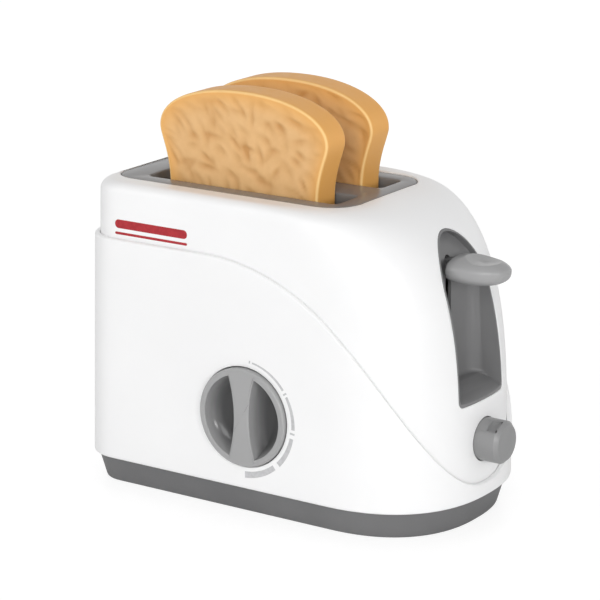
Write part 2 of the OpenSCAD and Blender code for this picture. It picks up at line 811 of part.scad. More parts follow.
module leaf_screw() {
    color(steel) translate([slider_x1 + 0.6, 0, boss_z + 15]) rotate([0, -90, 0])
        screw(small_d, small_head_d, 4, 1.2);
}

// ---- latch and eject button -------------------------------------------------------------

// Carries the latch's pin between two ears and guides the button's stem.
module latch_bracket() {
    color(dark_grey) difference() {
        union() {
            translate([pivot_x - 6, -bracket_y - 4, bracket_z])
                cube([guide_x + guide_t - pivot_x + 6, 2 * bracket_y + 8, bracket_t]);
            for (s = [-1, 1]) translate([pivot_x, s * (ear_y + ear_t / 2), 0]) across(ear_t) {
                translate([0, pivot_z]) circle(d = pin_d + 5);
                translate([-5, bracket_z + bracket_t - sl]) square([10, pivot_z - bracket_z - bracket_t]);
            }
            translate([guide_x, -9, bracket_z + sl]) cube([guide_t, 18, button_z + 6 - bracket_z]);
        }
        translate([pivot_x, 0, pivot_z]) rod_y(-20, 20, pin_d + 2 * fit);
        translate([0, 0, button_z]) rod_x(guide_x - 1, guide_x + guide_t + 1, button_stem_d + 2 * fit);
        for (s = [-1, 1]) translate([bracket_x, s * bracket_y, bracket_z - 1])
            cylinder(h = 5, d = small_d + 0.4);
    }
}

module bracket_screws() {
    color(steel) for (s = [-1, 1]) translate([bracket_x, s * bracket_y, bracket_z + bracket_t])
        rotate([180, 0, 0]) screw(small_d, small_head_d, 5.4, 1.4);
}

module latch_pin() {
    color(steel) translate([pivot_x, 0, pivot_z])
        rod_y(-ear_y - ear_t - 0.4, ear_y + ear_t + 0.4, pin_d);
}

// Rocker: the button pushes its upper arm, and its lower arm lets go of the hook.
module latch_lever() {
    arm = 4;
    color(dark_grey) translate([pivot_x, 0, 0]) difference() {
        across(lever_t) {
            translate([0, pivot_z]) circle(d = pin_d + 5);
            polygon([
                [-arm / 2, button_z + 5], [-arm / 2, nose_under + 5],
                [nose_tip - pivot_x, nose_under + 1], [nose_tip - pivot_x, nose_under],
                [arm / 2, nose_under], [arm / 2, button_z + 5]
            ]);
        }
        translate([0, 0, pivot_z]) rod_y(-10, 10, pin_d + 2 * fit);
    }
}

module latch_spring() {
    color(steel) translate([pivot_x, ear_y - 0.15, pivot_z]) rotate([90, 0, 0])
        coil(pin_d + 2.2, 0.5, ear_gap - 0.3, 3);
}

module eject_button() {
    r = button_d / 2;
    edge = 1.4;
    cap_wall = 2;
    cap_l = button_x - flange_x;
    notch = [4.8, 6.2, 2.2];
    color(grey) difference() {
        translate([flange_x, 0, button_z]) rotate([0, 90, 0]) rotate_extrude() polygon(concat(
            [[0, 0], [button_stem_d / 2, 0], [button_stem_d / 2, cap_l - 4], [r - cap_wall, cap_l - 4],
             [r - cap_wall, 0], [r + 1.7, 0], [r + 1.7, 1.6], [r, 1.6]],
            [for (a = [0:15:90]) [r - edge + edge * cos(a), cap_l - edge + edge * sin(a)]],
            [[r - 3, cap_l + 0.1], [r - 3.4, cap_l - 0.3], [0, cap_l - 0.3]]
        ));
        translate([button_x - 1.8 - notch[0], 0, button_z]) rotate([28, 0, 0])
            translate([0, -notch[1] / 2, r - notch[2]]) cube([notch[0], notch[1], 5]);
    }
    color(grey) translate([0, 0, button_z]) {
        rod_x(tip_x + button_stem_d / 2, flange_x + 1, button_stem_d);
        translate([tip_x + button_stem_d / 2, 0, 0]) sphere(d = button_stem_d);
    }
}

module button_spring() {
    z0 = guide_x + guide_t;
    color(steel) translate([z0 + 0.1, 0, button_z]) rotate([0, 90, 0])
        coil(button_stem_d + 3.6, 0.7, flange_x + button_x - flange_x - 4 - z0 - 0.2, 7);
}

// ---- dial ---------------------------------------------------------------------------------

module dial_knob() {
    r = dial_d / 2;
    edge = 1;
    well_r = r - dial_rim;
    shallow = 2.4;
    color(grey) translate([dial_x, 0, dial_z]) difference() {
        translate([0, dial_face, 0]) rotate([-90, 0, 0]) rotate_extrude($fn = 96) polygon(concat(
            [[0, 0]],
            [for (a = [0:15:90]) [r - edge + edge * sin(a), edge - edge * cos(a)]],
            [[r, dial_t], [0, dial_t]]
        ));
        // two finger scoops, deepest beside the grip bar
        intersection() {
            translate([0, dial_face + 10, 0]) across(30) difference() {
                circle(r = well_r, $fn = 96);
                grip_bar(well_r);
            }
            translate([0, 0, -r]) linear_extrude(2 * r) polygon([
                [-r, dial_face - 5], [r, dial_face - 5], [r, dial_face + shallow],
                [grip_end / 2, dial_face + scoop_t], [-grip_end / 2, dial_face + scoop_t],
                [-r, dial_face + shallow]
            ]);
        }
        rod_y(dial_back - 2.6, dial_back + 1, shaft_d + 2 * fit);
        rod_y(dial_face + 2.4, dial_back + 1, small_d + 2 * fit);
    }
}

// Hourglass outline of the grip bar.
module grip_bar(length) {
    n = 8;
    function half(k) = grip_waist / 2 + (grip_end - grip_waist) / 2 * pow(abs(k) / n, 2);
    polygon(concat(
        [for (k = [-n:n]) [half(k), k / n * (length + 1)]],
        [for (k = [n:-1:-n]) [-half(k), k / n * (length + 1)]]
    ));
}

module dial_shaft() {
    flat = 5;
    color(dark_grey) translate([dial_x, 0, dial_z]) difference() {
        union() {
            rod_y(dial_back - 2.5, bearing_y + gap / 2, shaft_d);
            translate([-flat / 2, bearing_y, -flat / 2]) cube([flat, shaft_tail - bearing_y, flat]);
        }
        rod_y(dial_face, 0, small_d + 2 * fit);
    }
}

// Star wheel whose notches give the clicks.
module click_wheel() {
    n = clicks * 4;
    color(grey) translate([dial_x, wheel_y + wheel_t / 2, dial_z]) across(wheel_t) difference() {
        polygon([for (k = [0:n - 1])
            let (a = 90 + k * 360 / n, r = wheel_d / 2 - 1.3 * pow(cos(k * 180 / 4), 2))
            [r * cos(a), r * sin(a)]]);
        square(5.1, center = true);
    }
}

module dial_screw() {
    color(steel) translate([dial_x, shaft_tail, dial_z]) rotate([90, 0, 0])
        screw(small_d, small_head_d + 2, shaft_tail - dial_face - 4, 1.5);
}

// Leaf spring with a bump that rides in the star wheel.
module click_spring() {
    t = 0.45;
    z = dial_z + 10;
    tip = dial_z + wheel_d / 2 - 1.3 + 0.25;
    color(steel) difference() {
        translate([dial_x, wheel_y + wheel_t / 2, 0]) across(3.6) polygon([
            [-18.5, z], [-18.5, z - t], [-2.2, z - t], [0, tip], [2.2, z - t], [7, z - t],
            [7, z], [1.8, z], [0, tip + t * 1.3], [-1.8, z]
        ]);
        translate([dial_x - 15, wheel_y + wheel_t / 2, z - 2]) cylinder(h = 4, d = small_d + 0.3);
    }
}

module click_screw() {
    color(steel) translate([dial_x - 15, wheel_y + wheel_t / 2, dial_z + 9.5])
        screw(small_d, small_head_d - 0.4, 4, 1.2);
}

// ---- bread ---------------------------------------------------------------------------------

// Outline of a slice in X and Z, moved in by an inset, clockwise seen from the front.
function slice_outline(inset) =
    let (
        foot = slice_foot / 2 - inset,
        neck = slice_neck / 2 - inset,
        hip = slice_w / 2 - inset,
        neck_z = rack_z + slice_neck_h,
        dome_z = rack_z + slice_h - slice_dome,
        swell = dome_z - neck_z,
        r = 6 - inset,
        z0 = rack_z + inset,
        power = 2.15,
        half = concat(
            [for (k = [0:4]) let (a = 270 + k * 20) [foot - r + r * cos(a), z0 + r + r * sin(a)]],
            // the side swells in one soft curve from the neck to the widest place
            [for (k = [0:6]) let (t = k / 7) [
                neck + (hip - neck) * t * t * (3 - 2 * t),
                neck_z + swell * t * (1.5 * pow(1 - t, 2) + 2.52 * (1 - t) * t + t * t)]],
            [for (k = [0:14]) let (a = k * 6.2)
                [hip * pow(cos(a), 2 / power), dome_z + (slice_dome - inset) * pow(sin(a), 2 / power)]]
        ),
        n = len(half)
    )
    concat(
        [for (p = half) [slot_x + p[0], p[1]]],
        [for (k = [n - 1:-1:0]) [slot_x - half[k][0], half[k][1]]]
    );

module bread() {
    n = 3;
    t = slice_t / 2;
    function ring(y, inset) = [for (p = slice_outline(inset)) [p[0], y, p[1]]];
    function edge(side, a) = ring(side * (t - slice_r + slice_r * cos(a)), slice_r * (1 - sin(a)));
    loft(concat(
        [for (k = [0:n]) edge(1, k * 90 / n)],
        [for (k = [n:-1:0]) edge(-1, k * 90 / n)]
    ));
}

module toast_near() {
    color(crust) translate([0, -slot_y, 0]) bread();
}

module toast_far() {
    color(crust) translate([0, slot_y, 0]) bread();
}

base_tray();
base_screws();
skirt_shell();
upper_shell();
slot_plate();
toast_chute();
top_screws();
lever_channel();
channel_screws();
guide_rods();
lift_spring();
carriage_frame();
toast_rack();
rack_screws();
lever_paddle();
catch_leaf();
leaf_screw();
latch_bracket();
bracket_screws();
latch_lever();
latch_pin();
latch_spring();
eject_button();
button_spring();
dial_knob();
dial_shaft();
click_wheel();
dial_screw();
click_spring();
click_screw();
toast_near();
toast_far();
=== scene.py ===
import json
import math
import bmesh
import bpy
import numpy as np
from mathutils import Matrix, Vector


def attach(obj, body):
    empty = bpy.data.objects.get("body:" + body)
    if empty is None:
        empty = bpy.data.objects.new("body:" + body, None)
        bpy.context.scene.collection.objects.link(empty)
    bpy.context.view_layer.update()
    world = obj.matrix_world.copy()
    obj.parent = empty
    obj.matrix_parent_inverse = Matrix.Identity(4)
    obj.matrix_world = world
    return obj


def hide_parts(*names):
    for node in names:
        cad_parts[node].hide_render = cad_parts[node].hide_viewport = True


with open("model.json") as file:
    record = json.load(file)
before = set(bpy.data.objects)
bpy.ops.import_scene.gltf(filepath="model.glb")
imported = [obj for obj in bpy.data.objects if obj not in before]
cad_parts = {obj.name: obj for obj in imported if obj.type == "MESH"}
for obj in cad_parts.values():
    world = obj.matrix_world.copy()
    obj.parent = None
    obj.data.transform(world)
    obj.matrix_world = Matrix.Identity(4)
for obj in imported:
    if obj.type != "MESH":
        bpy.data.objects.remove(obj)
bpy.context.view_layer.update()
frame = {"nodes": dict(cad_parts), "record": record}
bpy.ops.object.select_all(action="DESELECT")

# ---- Camera ---------------------------------------------------------------------------
# A long lens looks down a little on the dial side and on the nose with the lever.
azimuth, elevation, roll = math.radians(33.71), math.radians(15.78), math.radians(-0.13)
camera_place = Vector((0.61785, -0.93545, 0.40401))
film_width, picture_width, focal_pixels = 36, 600, 2564.56
right = Vector((math.cos(azimuth), math.sin(azimuth), 0))
back = Vector((math.sin(azimuth) * math.cos(elevation),
               -math.cos(azimuth) * math.cos(elevation), math.sin(elevation)))
above = back.cross(right)
level_right = right * math.cos(roll) + above * math.sin(roll)
level_above = above * math.cos(roll) - right * math.sin(roll)
camera_data = bpy.data.cameras.new("camera")
camera_data.sensor_width = film_width
camera_data.lens = focal_pixels / picture_width * film_width
camera = bpy.data.objects.new("camera", camera_data)
bpy.context.scene.collection.objects.link(camera)
camera.matrix_world = Matrix((
    (level_right.x, level_above.x, back.x, camera_place.x),
    (level_right.y, level_above.y, back.y, camera_place.y),
    (level_right.z, level_above.z, back.z, camera_place.z),
    (0, 0, 0, 1)))
bpy.context.scene.camera = camera


# ---- Room -------------------------------------------------------------------------------
# A white table under soft light: a pale sky that dims overhead, a large lamp near the camera
# and weaker ones from the left, the nose and behind. The table keeps the toy's shadow.
class Tone:
    """The output of a shader node, with the arithmetic that the finishes are written in."""

    def __init__(self, socket):
        self.socket = socket
        self.tree = socket.id_data

    def node(self, kind, inputs, settings=None, out=0):
        """Adds a node, sets it up, feeds its inputs with numbers or tones, gives its output."""
        made = self.tree.nodes.new(kind)
        for name, value in (settings or {}).items():
            setattr(made, name, value)
        for name, value in inputs.items():
            if isinstance(value, Tone):
                self.tree.links.new(value.socket, made.inputs[name])
            else:
                made.inputs[name].default_value = value
        return Tone(made.outputs[out])

    def maths(self, operation, first, second):
        return self.node("ShaderNodeMath", {0: first, 1: second}, {"operation": operation})

    def __add__(self, other):
        return self.maths("ADD", self, other)

    def __radd__(self, other):
        return self.maths("ADD", other, self)

    def __mul__(self, other):
        return self.maths("MULTIPLY", self, other)

    def __rmul__(self, other):
        return self.maths("MULTIPLY", other, self)

    def noise(self, scale, detail=2.0, rough=0.5):
        """Soft noise over these coordinates, scale in cells for each metre."""
        return self.node("ShaderNodeTexNoise",
                         {"Vector": self, "Scale": scale, "Detail": detail, "Roughness": rough})

    def ramp(self, low, high, start=0.0, end=1.0):
        """Maps low..high to start..end smoothly."""
        return self.node("ShaderNodeMapRange", {0: self, 1: low, 2: high, 3: start, 4: end},
                         {"interpolation_type": "SMOOTHSTEP"})

    def between(self, first, second):
        """Colour that goes from the first to the second by this amount."""
        ends = [(*end, 1) if isinstance(end, tuple) else end for end in (first, second)]
        return self.node("ShaderNodeMix", {0: self, 6: ends[0], 7: ends[1]},
                         {"data_type": "RGBA"}, 2)


def new_material(name):
    """A fresh material: its shader node and the object's own coordinates in metres."""
    made = bpy.data.materials.new(name)
    made.use_nodes = True
    shader = made.node_tree.nodes["Principled BSDF"]
    place = Tone(made.node_tree.nodes.new("ShaderNodeTexCoord").outputs["Object"])
    return made, shader, place


def feed(shader, name, tone):
    tone.tree.links.new(tone.socket, shader.inputs[name])


table, table_shader, table_place = new_material("table_white")
table_shader.inputs["Base Color"].default_value = (0.9, 0.9, 0.9, 1)
feed(table_shader, "Roughness", table_place.noise(9.0).ramp(0.3, 0.7, 0.3, 0.36))
table_nodes = table.node_tree.nodes
seen = Tone(table_nodes.new("ShaderNodeLightPath").outputs["Is Camera Ray"])
glow = seen.node("ShaderNodeEmission", {"Color": (1, 1, 1, 1), "Strength": 1.16})
glow_share = 0.7
paper = seen.node("ShaderNodeMixShader",
                  {0: seen * glow_share, 1: Tone(table_shader.outputs[0]), 2: glow})
table.node_tree.links.new(paper.socket, table_nodes["Material Output"].inputs["Surface"])
bpy.ops.mesh.primitive_plane_add(size=12, location=(0, 0, 0))
floor = bpy.context.object
floor.name = "table"
floor.data.materials.append(table)

world = bpy.data.worlds.new("sky")
bpy.context.scene.world = world
world.use_nodes = True
sky_nodes = world.node_tree.nodes
sky = sky_nodes["Background"]
sky.inputs["Color"].default_value = (1, 1, 1, 1)
direct = Tone(sky_nodes.new("ShaderNodeLightPath").outputs["Is Camera Ray"])
way = Tone(sky_nodes.new("ShaderNodeTexCoord").outputs["Generated"])
height = way.node("ShaderNodeSeparateXYZ", {0: way}, out=2)
horizon_light, overhead_light, overhead_from = 0.93, 0.46, 0.8
dome = height.ramp(0.0, overhead_from, horizon_light, overhead_light)
strength = direct.maths("MAXIMUM", direct, dome)
world.node_tree.links.new(strength.socket, sky.inputs["Strength"])

for name, place, target, size, power in (
        ("lamp_front", (0.75, -1.75, 0.75), (0, 0, 0.07), 1.0, 11.5),
        ("lamp_high", (-0.9, -1.3, 1.2), (0, 0, 0.05), 0.9, 3.0),
        ("lamp_nose", (1.35, -0.75, 0.45), (0.05, 0, 0.08), 0.3, 4.5),
        ("lamp_back", (-0.5, 1.6, 0.9), (0, 0, 0.08), 0.9, 5.5)):
    lamp_data = bpy.data.lights.new(name, "AREA")
    lamp_data.size = size
    lamp_data.energy = power
    lamp = bpy.data.objects.new(name, lamp_data)
    bpy.context.scene.collection.objects.link(lamp)
    aim = (Vector(target) - Vector(place)).to_track_quat("-Z", "Y")
    lamp.visible_glossy = name != "lamp_back"
    lamp.matrix_world = Matrix.Translation(place) @ aim.to_matrix().to_4x4()
bpy.context.scene.view_settings.view_transform = "Standard"

# ---- Upper shell -------------------------------------------------------------------------
# White gloss moulding: straight drafted sides, a crown with round edges and a nose that
# falls in one sweep. It is open for the slot plate, the lever and the button, and it is
# screwed to the base from below. Sizes are in millimetres, as on the drawing.
metre = 1000
body_l, half_w, crown_z, skirt_z = 188.4, 54.2, 142.0, 12.8
nose_l, nose_fade, nose_fade_pow, nose_pow, nose_square = 53.8, 5.2, 1.6, 2.4, 0.43
brow_x, brow_pow, nose_low, rear_r, crown_r = 35.2, 2.7, 21.0, 19.0, 5.0
shell_step, shell_wall = 2.5, 2.2
draft = math.tan(math.radians(1))
wave_ctrl_x, wave_ctrl_z = (-24, 36.6, 74.7, 94.2), (116.8, 116.8, 68.5, 18.9)
wave_low, wave_high = 13.0, 118.5
plate_rear, plate_front, plate_half, plate_r_rear, plate_r_front = -86, 40, 37, 14, 16
button_r, button_z = 9.7, 38.0

# The housing's plan is walked through six stretches, each with its number of points.
far_corner, rear_end, near_corner, dial_side, nose_bow, far_side = range(6)
stretches = ((far_corner, 14), (rear_end, 24), (near_corner, 14), (dial_side, 76),
             (nose_bow, 104), (far_side, 76))
kinds = np.array([kind for kind, n in stretches for k in range(n)])
parts = np.array([k / n for kind, n in stretches for k in range(n)])


def outline(rear, tip, half, nose, corner, power):
    """Plan of the body: straight sides, round rear corners and a superellipse nose."""
    turn = np.radians(np.where(kinds == far_corner, 90, 180) + 90 * parts)
    sweep = np.radians(-90 + 180 * parts)
    reach = (np.cos(sweep).clip(0) ** power + np.abs(np.sin(sweep)) ** power) ** (-1 / power)
    side_rear, side_front = rear + corner, tip - nose
    corner_x = side_rear + corner * np.cos(turn)
    run = side_front - side_rear
    x = np.select(
        [kinds == far_corner, kinds == rear_end, kinds == near_corner, kinds == dial_side,
         kinds == nose_bow],
        [corner_x, rear + 0 * parts, corner_x, side_rear + run * parts,
         side_front + nose * reach * np.cos(sweep)], side_front - run * parts)
    y = np.select(
        [kinds == far_corner, kinds == rear_end, kinds == near_corner, kinds == dial_side,
         kinds == nose_bow],
        [half - corner + corner * np.sin(turn), (half - corner) * (1 - 2 * parts),
         corner - half + corner * np.sin(turn), -half + 0 * parts,
         half * reach * np.sin(sweep)], half + 0 * parts)
    return x, y


def level(z):
    """The same height for every point of the plan."""
    return np.full(len(kinds), float(z))


def shell_points(z, inset):
    """Points of the housing at heights z, one for each point of the plan, moved in."""
    top = crown_z - inset
    rise = ((z - nose_low) / (top - nose_low)).clip(0, 1)
    set_in = np.maximum(z - skirt_z, 0) * draft + shell_step + inset
    edge_r = crown_r - min(inset, crown_r - 1)
    over = (z - (top - edge_r)).clip(0)
    edge = np.where(over > 0, edge_r - np.sqrt((edge_r ** 2 - over ** 2).clip(0)), 0)
    front = (1 - rise ** brow_pow).clip(0) ** (1 / brow_pow)
    tip = brow_x + (body_l / 2 - shell_step - inset - brow_x) * front
    nose = nose_l - shell_step - inset - nose_fade * rise ** nose_fade_pow
    x, y = outline(-body_l / 2 + set_in + edge, tip, half_w - set_in - edge, nose,
                   rear_r - shell_step - inset - edge / 2, nose_pow + nose_square * rise)
    return np.stack([x, y, z], 1)


def wave_height(x):
    """Height of the skirt's wave-shaped edge along the body."""
    t = np.linspace(0, 1, 400)
    wave_x, wave_z = (
        a * (1 - t) ** 3 + b * 3 * (1 - t) ** 2 * t + c * 3 * (1 - t) * t * t + d * t ** 3
        for a, b, c, d in (wave_ctrl_x, wave_ctrl_z))
    return np.interp(x, wave_x, wave_z)


def wave_line(inset):
    """Height at which each upright line of the housing meets the wave."""
    low, high = level(wave_low), level(wave_low)
    crossed = np.zeros(len(kinds), bool)
    for z in np.arange(wave_low, wave_high, 0.5):
        beyond = z > wave_height(shell_points(level(z), inset)[:, 0])
        low = np.where(~crossed & ~beyond, z, low)
        high = np.where(~crossed & beyond, z, high)
        crossed |= beyond
    for _ in range(20):
        mid = (low + high) / 2
        beyond = mid > wave_height(shell_points(mid, inset)[:, 0])
        low, high = np.where(beyond, low, mid), np.where(beyond, mid, high)
    return (low + high) / 2


def skin(name, rings, first_cap=False, last_cap=False):
    """Mesh through a stack of rings in millimetres, all with the same number of points."""
    count, last = len(rings[0]), len(rings) - 1
    points = [tuple(float(v) / metre for v in p) for ring in rings for p in ring]
    faces = [(j * count + i, j * count + (i + 1) % count,
              (j + 1) * count + (i + 1) % count, (j + 1) * count + i)
             for j in range(last) for i in range(count)]
    if first_cap:
        faces.append(tuple(range(count - 1, -1, -1)))
    if last_cap:
        faces.append(tuple(last * count + i for i in range(count)))
    mesh = bpy.data.meshes.new(name)
    mesh.from_pydata(points, [], faces)
    mesh.update()
    made = bpy.data.objects.new(name, mesh)
    bpy.context.scene.collection.objects.link(made)
    return made


def pick(piece):
    bpy.ops.object.select_all(action="DESELECT")
    piece.select_set(True)
    bpy.context.view_layer.objects.active = piece


def face_outward(piece):
    pick(piece)
    bpy.ops.object.mode_set(mode="EDIT")
    bpy.ops.mesh.select_all(action="SELECT")
    bpy.ops.mesh.normals_make_consistent(inside=False)
    bpy.ops.object.mode_set(mode="OBJECT")


def settle(piece, angle=38):
    """Turns the faces outward and shades all but the sharp edges smooth."""
    face_outward(piece)
    bpy.ops.object.shade_smooth_by_angle(angle=math.radians(angle))


def cut(piece, tool, operation="DIFFERENCE"):
    """Applies a boolean and throws the tool away."""
    pick(piece)
    step = piece.modifiers.new("cut", "BOOLEAN")
    step.object = tool
    step.operation = operation
    step.solver = "EXACT"
    bpy.ops.object.modifier_apply(modifier=step.name)
    bpy.data.objects.remove(tool)


def prism(name, points, axis, low, high):
    """Solid that stretches an outline along an axis, all in millimetres."""
    place = {"x": lambda p, d: (d, p[0], p[1]), "y": lambda p, d: (p[0], d, p[1]),
             "z": lambda p, d: (p[0], p[1], d)}[axis]
    made = skin(name, [[place(p, depth) for p in points] for depth in (low, high)], True, True)
    face_outward(made)
    return made


def circle(mid_a, mid_b, radius, count):
    turns = [k * 2 * math.pi / count for k in range(count)]
    return [(mid_a + radius * math.cos(t), mid_b + radius * math.sin(t)) for t in turns]


def round_box(x0, x1, y0, y1, r_low, r_high, steps=10):
    """Rectangle with one radius on its low-x corners and another on its high-x corners."""
    corners = ((x1 - r_high, y1 - r_high, r_high, 0), (x0 + r_low, y1 - r_low, r_low, 90),
               (x0 + r_low, y0 + r_low, r_low, 180), (x1 - r_high, y0 + r_high, r_high, 270))
    return [(mid_x + r * math.cos(math.radians(turn + k * 90 / steps)),
             mid_y + r * math.sin(math.radians(turn + k * 90 / steps)))
            for mid_x, mid_y, r, turn in corners for k in range(steps + 1)]


def gate(grow, steps=9):
    """Outline of the lever's opening in Y and Z: drafted sides under an arch."""
    half_low, half_top, sill, corner = 19.0 + grow, 18.3 + grow, 56.0 - grow, 3.0
    spring_z, arch = 104, 26 + grow
    bends = [math.radians(k * 90 / steps) for k in range(steps + 1)]
    arch_turns = [math.radians(k * 2.5) for k in range(73)]
    return ([(half_top * math.cos(a), spring_z + arch * math.sin(a)) for a in arch_turns]
            + [(corner - half_low - corner * math.cos(a), sill + corner - corner * math.sin(a))
               for a in bends]
            + [(half_low - corner + corner * math.sin(a), sill + corner - corner * math.cos(a))
               for a in bends])


def front_x(z):
    """Rough place of the shell's front in the middle plane, a little behind its face."""
    return np.interp(z, [50, 100, 120, 132], [86, 82, 73, 62])


def soften(piece, width, chosen, steps=3, sharp=40):
    """Rounds the sharp edges whose middles pass a test, given in millimetres."""
    mesh = bmesh.new()
    mesh.from_mesh(piece.data)
    bmesh.ops.remove_doubles(mesh, verts=mesh.verts, dist=0.02 / metre)

    def rims():
        return [e for e in mesh.edges
                if len(e.link_faces) == 2 and e.calc_face_angle() > math.radians(sharp)
                and chosen(*((e.verts[0].co + e.verts[1].co) / 2 * metre))]

    # Points that crowd a rim would fold the rounding over, so they are dissolved first. They
    # go in the mesh's own order, because in any other the rounding differs from run to run.
    crowded = 1.6 * width / metre
    held = {v for e in rims() for v in e.verts}
    near = [v for v in mesh.verts if v not in held and any(
        e.other_vert(v) in held and e.calc_length() < crowded for e in v.link_edges)]
    bmesh.ops.dissolve_verts(mesh, verts=near)
    bmesh.ops.bevel(mesh, geom=rims(), offset=width / metre, offset_type="OFFSET",
                    segments=steps, profile=0.5, affect="EDGES", clamp_overlap=False)
    mesh.to_mesh(piece.data)
    mesh.free()


def rising(low, inset):
    """Rings of the housing from the heights in low up to the crown, closer near the top."""
    ring_count, crowding, slow_rings = 75, 1.35, 12
    top = crown_z - inset
    start = np.arcsin((((low - nose_low) / (top - nose_low)).clip(0, 1)) ** crowding)
    rings = [shell_points(low, inset)]
    for k in range(1, ring_count + 1):
        turn = start + (math.pi / 2 - start) * k / ring_count
        z = nose_low + (top - nose_low) * np.sin(turn) ** (1 / crowding)
        z = low + (z - low) * min(1, k / slow_rings)
        rings.append(shell_points(np.clip(z, low + 0.01 * k, top), inset))
    return rings


def finish(name, tones, tone_noise, gloss, gloss_noise, grain=None, drift=(0.3, 0.7),
           fixed=None):
    """Material whose tone and roughness drift by noise, over a fine grain if given."""
    made, shader, place = new_material(name)
    for socket, value in (fixed or {}).items():
        shader.inputs[socket].default_value = value
    feed(shader, "Base Color", place.noise(*tone_noise).ramp(*drift).between(*tones))
    feed(shader, "Roughness", place.noise(*gloss_noise).ramp(0.3, 0.7, *gloss))
    if grain:
        scale, detail, bump, depth = grain
        relief = place.noise(scale, detail)
        feed(shader, "Normal", relief.node(
            "ShaderNodeBump", {"Height": relief, "Strength": bump, "Distance": depth / metre}))
    return made


skirt_edge = wave_line(-shell_step)
hidden_lap, lap_low = 6, 15
upper_shell = skin("upper_housing", rising(np.maximum(skirt_edge - hidden_lap, lap_low), 0),
                   last_cap=True)
pick(upper_shell)
wall = upper_shell.modifiers.new("wall", "SOLIDIFY")
wall.thickness = shell_wall / metre
wall.offset = -1
bpy.ops.object.modifier_apply(modifier="wall")
plate_gap, button_gap = 0.2, 0.4
plate_hole = round_box(plate_rear - plate_gap, plate_front + plate_gap, -plate_half - plate_gap,
                       plate_half + plate_gap, plate_r_rear, plate_r_front)
cut(upper_shell, prism("plate_hole", plate_hole, "z", 128, 150))
cut(upper_shell, prism("lever_hole", gate(0), "x", 50, 110))
button_hole = circle(0, button_z, button_r + button_gap, 96)
cut(upper_shell, prism("button_hole", button_hole, "x", 70, 110))
soften(upper_shell, 0.7, lambda x, y, z: z > 141.5 and -88 < x < 42 and abs(y) < 38)
soften(upper_shell, 0.35,
       lambda x, y, z: x > 62 and 50 < z < 132 and abs(y) < 20 and x > front_x(z))
settle(upper_shell)
white = finish(
    "white_moulding", ((0.87, 0.87, 0.873), (0.9, 0.9, 0.902)), (14.0, 2.0),
    (0.29, 0.33), (14.0, 2.0), (30.0, 1.0, 0.04, 0.6), (0.25, 0.75))
upper_shell.data.materials.append(white)
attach(upper_shell, "housing")
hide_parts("upper_shell")

# ---- Skirt ---------------------------------------------------------------------------------
# White gloss moulding that wraps the lower body and stands proud of the upper shell. Its
# edge falls in a wave from the rear to the nose, and it holds the dial in a round well.
lip, foot_round, hem_in, hem_t = 0.9, 0.6, 3.2, 1.4
outer, inner = -shell_step, shell_wall - shell_step
skirt_rings = [shell_points(level(skirt_z), inner + hem_in),
               shell_points(level(skirt_z), outer + foot_round)]
for turn in (30, 60, 90):
    rise = foot_round * (1 - math.cos(math.radians(turn)))
    tuck = foot_round * (1 - math.sin(math.radians(turn)))
    skirt_rings.append(shell_points(level(skirt_z + rise), outer + tuck))
side_low, side_levels = skirt_z + foot_round, 60
for k in range(1, side_levels + 1):
    z = side_low + (skirt_edge - lip - side_low) * k / side_levels
    skirt_rings.append(shell_points(z, outer))
for turn in (18, 36, 54, 72, 90):
    rise = lip * math.sin(math.radians(turn))
    tuck = lip * (1 - math.cos(math.radians(turn)))
    skirt_rings.append(shell_points(skirt_edge - lip + rise, outer + tuck))
skirt_rings.append(shell_points(skirt_edge, inner))
hem_top, inner_levels = skirt_z + hem_t, 30
for k in range(1, inner_levels + 1):
    skirt_rings.append(shell_points(skirt_edge + (hem_top - skirt_edge) * k / inner_levels, inner))
skirt_rings.append(shell_points(level(hem_top), inner + hem_in))
skirt_rings.append(skirt_rings[0])
skirt = skin("lower_housing", skirt_rings)
pick(skirt)
bpy.ops.object.mode_set(mode="EDIT")
bpy.ops.mesh.select_all(action="SELECT")
bpy.ops.mesh.remove_doubles(threshold=0.002 / metre)
bpy.ops.object.mode_set(mode="OBJECT")
settle(skirt)
dial_x, dial_z, dial_r, shaft_bore = -0.7, 46.0, 22.7, 4.05
well_hollow_r, well_outer_r, well_floor, well_back = 23.1, 24.7, -46.2, -43.8
cut(skirt, prism("well", circle(dial_x, dial_z, well_outer_r, 128), "y", -52.3, well_back),
    "UNION")
cut(skirt, prism("well_hollow", circle(dial_x, dial_z, well_hollow_r, 128), "y", -60, well_floor))
cut(skirt, prism("well_bore", circle(dial_x, dial_z, shaft_bore, 48), "y", -50, -40))
soften(skirt, 0.35, lambda x, y, z: y < -53 and math.hypot(x - dial_x, z - dial_z) < 24)
settle(skirt)
skirt.data.materials.append(white)
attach(skirt, "housing")
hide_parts("skirt_shell")

# ---- Trim stripes and dial scale -------------------------------------------------------
# Thin printed marks: two red stripes on the upper shell's side, and a pale grey scale
# round the dial whose dashes grow from the top to the bottom.
film, print_gap = 0.08, 0.02


def side_y(z, proud):
    """Y of the dial side at a height, for a surface that stands proud of the upper shell's."""
    return -(half_w - shell_step - (z - skirt_z) * draft + proud)


def printed(name, rows, proud):
    """Thin print on the dial side from rows of points in X and Z."""
    width = len(rows[0])
    points = [(x / metre, side_y(z, proud) / metre, z / metre) for row in rows for x, z in row]
    faces = [(j * width + i, j * width + i + 1, (j + 1) * width + i + 1, (j + 1) * width + i)
             for j in range(len(rows) - 1) for i in range(width - 1)]
    mesh = bpy.data.meshes.new(name)
    mesh.from_pydata(points, [], faces)
    made = bpy.data.objects.new(name, mesh)
    bpy.context.scene.collection.objects.link(made)
    pick(made)
    ink = made.modifiers.new("ink", "SOLIDIFY")
    ink.thickness = film / metre
    ink.offset = 1
    bpy.ops.object.modifier_apply(modifier="ink")
    return made


